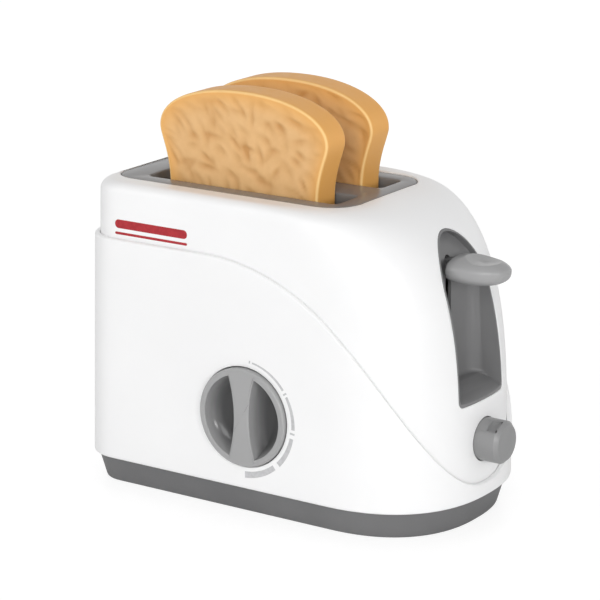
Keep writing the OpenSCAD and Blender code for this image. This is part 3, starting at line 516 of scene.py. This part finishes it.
def dash(name, begin, end, inner_r, thick_begin, thick_end):
    """Mark along the dial's edge, from one angle to another clockwise from the top."""
    steps = max(2, int((end - begin) / 2))
    rows = []
    for k in range(steps + 1):
        turn = math.radians(begin + (end - begin) * k / steps)
        outer_r = inner_r + thick_begin + (thick_end - thick_begin) * k / steps
        rows.append([(dial_x + r * math.sin(turn), dial_z + r * math.cos(turn))
                     for r in (inner_r, outer_r)])
    return printed(name, rows, shell_step + print_gap)


grey_print = finish(
    "grey_print", ((0.5, 0.5, 0.51), (0.56, 0.56, 0.57)), (700.0,), (0.4, 0.5), (300.0,),
    drift=(0.35, 0.65))
for name, begin, end, inner_r, thick_begin, thick_end in (
        ("scale_a", 6.2, 7.8, 25.4, 1.2, 1.2), ("scale_b", 10, 53, 25.6, 0.7, 1.2),
        ("scale_c", 56, 57.8, 25.2, 1.9, 1.9), ("scale_d", 60, 93, 25.5, 1.3, 1.8),
        ("scale_e", 96, 98, 25.0, 2.4, 2.4), ("scale_f", 102, 135, 25.2, 1.9, 2.4),
        ("scale_g", 141, 178, 25.0, 2.5, 3.0)):
    mark = dash(name, begin, end, inner_r, thick_begin, thick_end)
    mark.data.materials.append(grey_print)
    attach(mark, "housing")

red_print = finish(
    "red_print", ((0.36, 0.012, 0.02), (0.43, 0.018, 0.026)), (500.0,), (0.32, 0.42), (300.0,),
    drift=(0.35, 0.65))
stripe_rear, stripe_front, stripe_step = -73, -33, 4
for name, low, high in (("stripe_wide", 121.6, 125.6), ("stripe_thin", 118.7, 119.9)):
    radius, mid = (high - low) / 2, (high + low) / 2
    turns = [math.radians(a) for a in range(5, 91, 5)]
    round_end = [(stripe_rear + radius - radius * math.cos(t), radius * math.sin(t))
                 for t in turns]
    body = [(x, radius) for x in range(stripe_rear + 3, stripe_front - 2, stripe_step)]
    other_end = [(stripe_rear + stripe_front - x, half) for x, half in reversed(round_end)]
    stripe = printed(name, [[(x, mid - half), (x, mid + half)]
                            for x, half in round_end + body + other_end], print_gap)
    stripe.data.materials.append(red_print)
    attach(stripe, "housing")

# ---- Base --------------------------------------------------------------------------------
# Dark matt tray that the toy stands on, set in under the skirt. Four screws go up through
# deep wells in its floor.
base_top, base_in, base_taper, base_round_z = 12.75, 2.2, 3.2, 1.0
floor_t, wall_levels = 2.5, 8
screw_xs, screw_y, tower_r, screw_well_r, screw_bore_r = (-66.2, 52.2), 42, 5.3, 3.2, 1.7


def base_points(z, inset):
    """Points of the base at height z, moved in from the skirt's lowest outline."""
    x, y = outline(-body_l / 2 + inset, body_l / 2 - inset, half_w - inset, nose_l - inset,
                   rear_r - inset, nose_pow)
    return np.stack([x, y, level(z)], 1)


rim_z = base_top - 0.35
base_rings = [base_points(floor_t, 8.0), base_points(base_top, 4.6), base_points(base_top, 2.5)]
for k in range(wall_levels + 1):
    base_rings.append(base_points(rim_z - (rim_z - base_round_z) * k / wall_levels,
                                  base_in + base_taper * k / wall_levels))
base_rings += [base_points(0.5, 5.6), base_points(0.15, 5.95), base_points(0.0, 6.5)]
base = skin("base", base_rings, True, True)
settle(base)
for x in screw_xs:
    for y in (-screw_y, screw_y):
        cut(base, prism("tower", circle(x, y, tower_r, 48), "z", 0.4, 10), "UNION")
        cut(base, prism("well", circle(x, y, screw_well_r, 48), "z", -1, 4))
        cut(base, prism("bore", circle(x, y, screw_bore_r, 32), "z", 3, 11))
settle(base)
dark = finish(
    "dark_moulding", ((0.145, 0.145, 0.148), (0.17, 0.17, 0.172)), (25.0, 3.0),
    (0.5, 0.62), (2200.0, 3.0), (2200.0, 3.0, 0.12, 0.2))
base.data.materials.append(dark)
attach(base, "housing")
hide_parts("base_tray")

# ---- Slot plate --------------------------------------------------------------------------
# Grey satin plate let into the crown, with two long slots for the bread whose edges are
# rounded so that the slices slip in.
plate_low, plate_top = 134.0, 141.6
slot_y, slot_half, slot_rear, slot_front, slot_r = 18.2, 9.25, -71, 31, 3
bpy.ops.object.select_all(action="DESELECT")
bpy.ops.mesh.primitive_cube_add(size=1, location=(
    (plate_rear + plate_front) / 2 / metre, 0, (plate_low + plate_top) / 2 / metre))
plate = bpy.context.object
plate.name = "plate"
plate.scale = ((plate_front - plate_rear) / metre, 2 * plate_half / metre,
               (plate_top - plate_low) / metre)
bpy.ops.object.transform_apply(location=True, rotation=False, scale=True)
corners = bmesh.new()
corners.from_mesh(plate.data)
for end_x, corner_r in ((plate_rear, plate_r_rear), (plate_front, plate_r_front)):
    uprights = [e for e in corners.edges
                if abs(e.verts[0].co.z - e.verts[1].co.z) > 5 / metre
                and abs(e.verts[0].co.x - end_x / metre) < 1 / metre
                and abs(e.verts[0].co.y) > (plate_half - 1) / metre]
    bmesh.ops.bevel(corners, geom=uprights, offset=corner_r / metre, segments=14, profile=0.5,
                    affect="EDGES")
corners.to_mesh(plate.data)
corners.free()
for y in (-slot_y, slot_y):
    slot = round_box(slot_rear, slot_front, y - slot_half, y + slot_half, slot_r, slot_r)
    cut(plate, prism("slot", slot, "z", 130, 145))
soft = plate.modifiers.new("soft", "BEVEL")
soft.width = 0.9 / metre
soft.segments = 4
soft.limit_method = "ANGLE"
soft.angle_limit = math.radians(50)
pick(plate)
bpy.ops.object.modifier_apply(modifier="soft")
bpy.ops.object.shade_smooth_by_angle(angle=math.radians(30))
grey = finish(
    "grey_moulding", ((0.195, 0.195, 0.197), (0.205, 0.205, 0.207)), (30.0, 1.0),
    (0.2, 0.24), (60.0, 1.0), (140.0, 1.0, 0.03, 0.2), fixed={"Specular IOR Level": 0.35})
plate.data.materials.append(grey)
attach(plate, "housing")
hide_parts("slot_plate")

# ---- Lever channel ---------------------------------------------------------------------
# Grey moulded liner of the lever's opening: a sagged back with soft corners, a floor that
# slopes to the front and a thin lip that ends flush with the white shell. Four screws hold
# its ears, and the lever's stem runs in its slot.
channel_back, channel_half, channel_corner, channel_sag = 72.5, 18.0, 5.5, 3.2
sill_z, channel_floor, foot_r, mouth_x = 56, 62, 2.2, 124.2
bend_z, bend_soft, bend_lean, back_run = 117.1, 1.2, 0.63, 61.1


def channel_ring(z, grow):
    """Plan of the channel's hollow at a height, grown by a margin."""
    lean = (z - sill_z) / back_run + bend_lean * math.log1p(math.exp((z - bend_z) / bend_soft))
    turns = np.radians(np.linspace(90, 0, 13))
    corner_x = channel_corner * (1 - np.cos(turns))
    corner_y = channel_half - channel_corner + channel_corner * np.sin(turns)
    flat_half = channel_half - channel_corner
    flat_y = np.linspace(flat_half, -flat_half, 28)[1:-1]
    y = np.concatenate([corner_y, flat_y, -corner_y[::-1]])
    x = (channel_back - lean - grow + channel_sag * (y / channel_half) ** 2
         + np.concatenate([corner_x, 0 * flat_y, corner_x[::-1]]))
    if grow == 0:
        foot = min(max(foot_r - (z - channel_floor), 0), foot_r)
        x = x + foot_r - math.sqrt(foot_r ** 2 - foot ** 2)
    half = channel_half + grow
    return ([(mouth_x, -half, z), (mouth_x, half, z)]
            + list(zip(x, y + grow * y / channel_half, z + 0 * x)))


def channel_block(name, grow, shell_inset=None):
    """Solid of the channel's hollow, grown by a margin and cut off at the shell."""
    heights = [sill_z - grow, 61.99, 62.1, 62.3, 62.6, 63, 63.5, 64.2, 70, 85, 100, 108, 112,
               114, 115.5, 116.5, 117.5, 118.5, 119.5, 121, 123, 126, 130 + grow]
    block = skin(name, [channel_ring(z, grow) for z in heights], True, True)
    settle(block)
    cut(block, prism("mouth", gate(grow - 1, 12), "x", 40, 120), "INTERSECT")
    if shell_inset is not None:
        limit = skin("limit", rising(level(lap_low), shell_inset), True, True)
        settle(limit)
        cut(block, limit, "INTERSECT")
    return block


channel = channel_block("lever_liner", 1.6, 2.3)
cut(channel, channel_block("lip", 0.9, 0.1), "UNION")
ear_outer, ear_inner, ear_half = 26, 17.94, 4
for low_y, high_y in ((-ear_outer, -ear_inner), (ear_inner, ear_outer)):
    for ear_z in (70, 96):
        ear = round_box(low_y, high_y, ear_z - ear_half, ear_z + ear_half, 3, 3)
        cut(channel, prism("ear", ear, "x", 73, 75.4), "UNION")
hollow = channel_block("hollow", 0)
floor_side = [(50, 50), (98, 50), (94.2, sill_z), (78.5, channel_floor), (50, channel_floor)]
cut(hollow, prism("floor", floor_side, "y", -20, 20))
cut(channel, hollow)
stem_slot = round_box(-2.4, 2.4, 64.6, 118.6, 2.2, 2.2)
cut(channel, prism("stem_slot", stem_slot, "x", 50, 84))
soften(channel, 0.22, lambda x, y, z: x > front_x(z))
settle(channel, 35)
channel.data.materials.append(grey)
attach(channel, "housing")
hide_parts("lever_channel")

# ---- Lever handle ------------------------------------------------------------------------
# Grey pebble-shaped handle pressed on the carriage's stem, broad at its rear, with a round
# thumb dish in its upper side.
paddle_tip, paddle_z, paddle_half_x, paddle_half_y = 101.8, 115.1, 15.7, 11.3
paddle_x = paddle_tip - paddle_half_x
paddle_up, paddle_down, paddle_taper, plan_pow = 5.5, 6.8, 0.2, 2.5
top_pow, belly_pow = 1.8, 2.7
dish_x, dish_r, dish_deep, dish_rim = paddle_x + 3.4, 7.6, 2.6, 0.06


def curve_reach(turn, power):
    """Distance from the middle to a superellipse of unit size in a direction."""
    return (abs(math.cos(turn)) ** power + abs(math.sin(turn)) ** power) ** (-1 / power)


pebble, pebble_rings, pebble_points = [], 96, 144
for k in range(1, pebble_rings):
    lift = math.radians(-90 + 180 * k / pebble_rings)
    upper = lift > 0
    reach = curve_reach(lift, top_pow if upper else belly_pow)
    out, high = reach * math.cos(lift), reach * math.sin(lift)
    ring = []
    for j in range(pebble_points):
        turn = 2 * math.pi * j / pebble_points
        along = out * curve_reach(turn, plan_pow) * math.cos(turn)
        across = out * curve_reach(turn, plan_pow) * math.sin(turn) * (1 - paddle_taper * along)
        x, y = paddle_x + paddle_half_x * along, paddle_half_y * across
        z = paddle_z + (paddle_up if upper else paddle_down) * high
        away = math.hypot(x - dish_x, y) / dish_r
        if upper and away < 1.12:
            sink = math.hypot(max(0, 1.06 - away), dish_rim) - dish_rim
            z -= dish_deep * sink ** 0.8 * (1 + 0.3 * away)
        ring.append((x, y, z))
    pebble.append(ring)
handle = skin("lever_handle", pebble, True, True)
settle(handle)
heel_x, stem_low, stem_high, stem_end, stem_half = 75.7, 110.0, 117.2, 84.9, 2.1
front_part = [(heel_x, 100), (110, 100), (110, 130), (heel_x, 130)]
cut(handle, prism("front_part", front_part, "y", -20, 20), "INTERSECT")
stem_hole = [(75, stem_low), (stem_end, stem_low), (stem_end, stem_high), (75, stem_high)]
cut(handle, prism("stem_hole", stem_hole, "y", -stem_half, stem_half))
soften(handle, 0.8, lambda x, y, z: x < 76 and (abs(y) > 3 or z < 109 or z > 118.5), 4)
settle(handle, 50)
light_grey = finish(
    "light_grey_moulding", ((0.325, 0.325, 0.327), (0.34, 0.34, 0.342)), (30.0, 1.0),
    (0.22, 0.26), (60.0, 1.0), (140.0, 1.0, 0.03, 0.2))
handle.data.materials.append(light_grey)
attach(handle, "carriage")
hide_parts("lever_paddle")

# ---- Eject button ------------------------------------------------------------------------
# Round grey push button with a broad chamfer and a moulded notch near its face. Its flange
# and stem stay inside, where the spring pushes it out.
button_face, chamfer, flange_x, flange_t, flange_r = 102.8, 2.0, 86.0, 1.6, 11.4
stem_r, hollow_r, hollow_end = 3.0, 7.7, 98.8


def lathe(name, profile, turned, count=128):
    """Closed solid turned from points of axial place and radius; turned makes a 3-D point."""
    turns = [2 * math.pi * j / count for j in range(count)]
    rings = [[turned(along, radius * math.cos(t), radius * math.sin(t)) for t in turns]
             for along, radius in profile]
    made = skin(name, rings, True, True)
    settle(made)
    return made


def rounded(along, radius, bend, angles):
    """Points of a profile round a corner of radius bend."""
    return [(along - bend + bend * math.sin(math.radians(a)),
             radius - bend + bend * math.cos(math.radians(a))) for a in angles]


stem = [(57.4, 0.6), (57.8, 1.7), (58.6, 2.6), (59.9, stem_r)]
inside = [(hollow_end - 0.2, stem_r), (hollow_end, stem_r + 0.2), (hollow_end, hollow_r - 0.2),
          (hollow_end - 0.2, hollow_r), (flange_x, hollow_r)]
flange = [(flange_x, flange_r), (flange_x + flange_t, flange_r), (flange_x + flange_t, button_r)]
side_edge = rounded(button_face - chamfer + 0.35, button_r, 0.35, (0, 15, 30, 45))
face_edge = rounded(button_face, button_r - chamfer + 0.5, 0.5, (45, 60, 75, 90))
face = [(button_face - 0.02, 5.0), (button_face - 0.05, 2.5), (button_face - 0.06, 0.4)]
button = lathe("push_button", stem + inside + flange + side_edge + face_edge + face,
               lambda along, y, z: (along, y, button_z + z))
notch_half, notch_floor, notch_turn = 3.1, 8.1, math.radians(28)
notch = [(y * math.cos(notch_turn) - z * math.sin(notch_turn),
          button_z + y * math.sin(notch_turn) + z * math.cos(notch_turn))
         for y, z in ((-notch_half, notch_floor), (notch_half, notch_floor),
                      (notch_half, 13), (-notch_half, 13))]
cut(button, prism("notch", notch, "x", 96.2, 100.9))
soften(button, 0.3, lambda x, y, z: 96 < x < 101.2 and math.hypot(y, z - button_z) > 8.0)
settle(button, 30)
# The button takes a darker copy of the handle's grey: painted shade on the button.
button_shaded_grey = finish(
    "button_painted_shade_grey", ((0.255, 0.255, 0.257), (0.27, 0.27, 0.272)), (60.0, 1.0),
    (0.3, 0.34), (90.0, 1.0))
button.data.materials.append(button_shaded_grey)
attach(button, "button")
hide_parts("eject_button")

# ---- Dial ------------------------------------------------------------------------------------
# Grey browning dial: a disc with a waisted grip bar between two bowl-shaped scoops. It
# clicks round on its shaft.
dial_face, dial_back, rim_round, scoop_rim_r = -55.6, -46.6, 1.0, 19.7
bar_half, bar_flare, bowl_x, bowl_deep, bowl_pow, bowl_levels = 4.0, 3.5, 11.0, 7.4, 2.2, 20
brim = [(dial_face + rim_round - rim_round * math.cos(math.radians(a)),
         dial_r - rim_round + rim_round * math.sin(math.radians(a))) for a in range(0, 91, 10)]
dial = lathe("dial", [(dial_face, 0.4), (dial_face, 8.0), (dial_face, 16.0)] + brim
             + [(dial_back - 0.3, dial_r), (dial_back, dial_r - 0.3), (dial_back, 12.0),
                (dial_back, 4.0)],
             lambda along, x, z: (dial_x + x, along, dial_z + z), 192)
cut(dial, prism("shaft_hole", circle(dial_x, dial_z, shaft_bore, 48), "y", -49.2, -46))
for side in (1, -1):
    bar_edge = [(bar_half + bar_flare * (z / (scoop_rim_r + 1)) ** 2, z)
                for z in np.linspace(-19.2, 19.2, 81)]
    bar_edge = [p for p in bar_edge if math.hypot(*p) < scoop_rim_r]
    far = math.atan2(bar_edge[-1][1] + 0.2, bar_edge[-1][0])
    mouth = bar_edge + [(scoop_rim_r * math.cos(t), scoop_rim_r * math.sin(t))
                        for t in np.linspace(far, -far, 121)]
    bowl = [[(dial_x + side * x, dial_face - 1.9, dial_z + z) for x, z in mouth]]
    for k in range(bowl_levels + 1):
        shrink = math.cos(math.radians(88 * k / bowl_levels))
        depth = bowl_deep * (1 - shrink ** bowl_pow) ** (1 / bowl_pow)
        bowl.append([(dial_x + side * (bowl_x + (x - bowl_x) * shrink), dial_face + depth,
                      dial_z + z * (0.45 + 0.55 * shrink)) for x, z in mouth])
    scoop = skin("scoop", bowl, True, True)
    settle(scoop)
    cut(dial, scoop)
soften(dial, 0.4, lambda x, y, z: math.hypot(x - dial_x, z - dial_z) < scoop_rim_r + 0.5
       and y < dial_face + 0.1, 3, 30)
settle(dial, 40)
dial_grey, dial_shader, dial_place = new_material("dial_moulding")
inward = dial_place.node("ShaderNodeSeparateXYZ", {0: dial_place}, out=1)
# The scoops' grey is painted darker the deeper it lies, down to near black at the floor: painted
# shade in the bowls.
painted_scoop_shade = inward.ramp(-55.2 / metre, -47.8 / metre)
face_tone = dial_place.noise(30.0, 1.0).ramp(0.3, 0.7).between(
    (0.35, 0.35, 0.352), (0.365, 0.365, 0.367))
feed(dial_shader, "Base Color", painted_scoop_shade.between(face_tone, (0.045, 0.045, 0.046)))
feed(dial_shader, "Roughness", dial_place.noise(60.0, 1.0).ramp(0.3, 0.7, 0.22, 0.26))
dial.data.materials.append(dial_grey)
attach(dial, "dial")
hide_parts("dial_knob")

# ---- Bread slices --------------------------------------------------------------------------
# Two moulded slices of toast: a low dome over sides that swell softly, crisp edges, and a
# crumb of streaky dents pressed into both faces. The mould leaves the crust smooth.
slice_x, slice_foot_z, half_t, edge_r, dent_deep, face_levels = -20, 96.0, 7.5, 1.2, 0.7, 72
foot_half, neck_half, hip_half, foot_corner = 39, 40, 45.3, 6
neck_up, dome_up, dome_high, dome_pow = 44, 69.5, 19.95, 2.15
edge_steps, crust_steps = 6, 8
bread, bread_shader, bread_place = new_material("toasted_bread")


def marked(label):
    """The value that each point of the bread carries under a label."""
    reader = bread.node_tree.nodes.new("ShaderNodeAttribute")
    reader.attribute_name = label
    return Tone(reader.outputs["Fac"])


mottle = bread_place.noise(160.0, 3.0, 0.6)
# The faces are painted darker the deeper the dents go, as painted shade in the dents, mixed with a
# random mottle of the bread's own tone.
dent_shade_and_mottle = marked("dent") * 0.8 + mottle.ramp(0.3, 0.7) * 0.15
face_tint = dent_shade_and_mottle.between((0.78, 0.48, 0.215), (0.54, 0.26, 0.075))
side_tint = marked("crust").between(face_tint, (0.8, 0.4, 0.1))
# The pale colour along the edges is a painted highlight where the rounded edge would catch the
# light.
feed(bread_shader, "Base Color", marked("painted_highlight").between(side_tint, (0.92, 0.62, 0.26)))
feed(bread_shader, "Roughness", mottle.ramp(0.3, 0.7, 0.42, 0.5))
crumb = bread_place.noise(700.0, 3.0, 0.6)
feed(bread_shader, "Normal", crumb.node(
    "ShaderNodeBump", {"Height": crumb, "Strength": 0.08, "Distance": 0.4 / metre}))


def slice_outline(inset):
    """Outline of a slice in X and Z, moved in by an inset, starting at the foot."""
    foot, neck, hip = foot_half - inset, neck_half - inset, hip_half - inset
    corner, dome = foot_corner - inset, dome_high - inset
    neck_z, dome_z = slice_foot_z + neck_up, slice_foot_z + dome_up
    half = [(foot - corner + corner * math.sin(math.radians(a)),
             slice_foot_z + inset + corner - corner * math.cos(math.radians(a)))
            for a in range(0, 81, 10)]
    heel_x, heel_z = half[-1]
    half += [(heel_x + (neck - heel_x) * k / 26, heel_z + (neck_z - heel_z) * k / 26)
             for k in range(1, 26)]
    for k in range(18):
        t = k / 18
        half.append((neck + (hip - neck) * t * t * (3 - 2 * t),
                     neck_z + (dome_z - neck_z) * t
                     * (1.5 * (1 - t) ** 2 + 2.52 * (1 - t) * t + t * t)))
    for k in range(50):
        turn = math.radians(90 * k / 50)
        reach = curve_reach(turn, dome_pow)
        half.append((hip * reach * math.cos(turn), dome_z + dome * reach * math.sin(turn)))
    mirror = [(-x, z) for x, z in reversed(half)]
    sole = [((foot - corner) * (2 * k / 50 - 1), slice_foot_z + inset) for k in range(1, 50)]
    return [(x + slice_x, z) for x, z in half + [(0.0, dome_z + dome)] + mirror + sole]


def dents_at(x, z, seed):
    """Depth, from 0 to 1, of the streaky dents pressed into a face."""
    rng = np.random.default_rng(seed)
    depth = np.zeros(len(x))
    for column in range(16):
        for row in range(16):
            mid_x = -68 + column * 6.4 + rng.uniform(-3, 3) + (row % 2) * 3.2
            mid_z = 94 + row * 6.2 + rng.uniform(-2.5, 2.5)
            slant = math.radians(-42 + rng.normal(0, 30))
            long, wide, deep = rng.uniform(2.6, 5.6), rng.uniform(1.1, 2.0), rng.uniform(0.3, 1)
            along = (x - mid_x) * math.cos(slant) + (z - mid_z) * math.sin(slant)
            over = (z - mid_z) * math.cos(slant) - (x - mid_x) * math.sin(slant)
            over = over * np.where(over > 0, 1.5, 0.75) + 0.02 * along ** 2
            depth += deep * np.exp(-(along / long) ** 2 - (over / wide) ** 2)
    return np.clip(depth * 0.9, 0, 1.15) / 1.15


def moulded_slice(name, y_mid, seed):
    """One slice, with the depth of its dents, its crust and its painted edge highlight on its
    points.
    """
    flat = np.array(slice_outline(edge_r))
    face_mid_z = 140
    rings, dents, crusts, edge_highlight = [], [], [], []

    def face_rings(side, mark, order):
        for k in order:
            part = math.sin(math.radians(90 * k / face_levels))
            fade = min(1.0, (1 - part) * 30) * min(1.0, (1 - part) * 7 + 0.35)
            x = slice_x + (flat[:, 0] - slice_x) * part
            z = face_mid_z + (flat[:, 1] - face_mid_z) * part
            low = dents_at(x, z, mark) * fade
            rings.append(list(zip(x, y_mid + side * (half_t - dent_deep * low), z)))
            dents.extend(low)
            crusts.extend([min(1.0, max(0.0, 1 - (1 - part) * 4)) ** 2 * 0.8] * len(flat))
            edge_highlight.extend([0.5 if k == face_levels else 0.0] * len(flat))

    def plain_ring(y, inset, crust, highlight):
        rings.append([(x, y, z) for x, z in slice_outline(inset)])
        dents.extend([0.0] * len(flat))
        crusts.extend([crust] * len(flat))
        edge_highlight.extend([highlight] * len(flat))

    def edge_rings(side, order):
        # The painted highlight peaks halfway round each edge's rounding.
        for k in order:
            turn = math.radians(90 * k / edge_steps)
            plain_ring(y_mid + side * (half_t - edge_r * (1 - math.cos(turn))),
                       edge_r * (1 - math.sin(turn)), 0.75 + k / 24,
                       max(0, 1 - abs(k - 2.5) / 3))

    face_rings(-1, seed, range(1, face_levels + 1))
    edge_rings(-1, range(1, edge_steps + 1))
    for k in range(1, crust_steps):
        plain_ring(y_mid + (half_t - edge_r) * (2 * k / crust_steps - 1), 0, 1.0, 0.0)
    edge_rings(1, range(edge_steps, 0, -1))
    face_rings(1, seed + 70, range(face_levels, 0, -1))
    made = skin(name, rings, True, True)
    for label, values in (("dent", dents), ("crust", crusts), ("painted_highlight", edge_highlight)):
        layer = made.data.attributes.new(label, "FLOAT", "POINT")
        layer.data.foreach_set("value", values)
    settle(made, 180)
    return made


for name, node, body_name, y_mid, seed in (
        ("slice_near", "toast_near", "near_slice", -slot_y, 3),
        ("slice_far", "toast_far", "far_slice", slot_y, 41)):
    piece = moulded_slice(name, y_mid, seed)
    piece.data.materials.append(bread)
    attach(piece, body_name)
    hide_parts(node)

# ---- Pieces carried over from the mechanism ---------------------------------------------
# Chute, carriage, latch and fasteners show through the slots, the lever's opening and from
# below. They keep their own shapes and get the finish of their stuff.
black = finish(
    "black_moulding", ((0.014, 0.014, 0.014), (0.024, 0.024, 0.024)), (40.0, 3.0),
    (0.5, 0.6), (120.0, 3.0))
steel = finish(
    "zinc_steel", ((0.5, 0.5, 0.52), (0.62, 0.62, 0.63)), (400.0, 3.0),
    (0.26, 0.42), (600.0, 4.0), fixed={"Metallic": 1.0})
finishes = {"white_plastic": white, "grey_plastic": grey, "dark_plastic": dark,
            "black_plastic": black, "steel": steel, "bread_plastic": bread}
for entry in frame["record"]["subparts"]:
    node = frame["nodes"][entry["node"]]
    for place in node.material_slots:
        place.material = finishes[entry["material_slot"]]
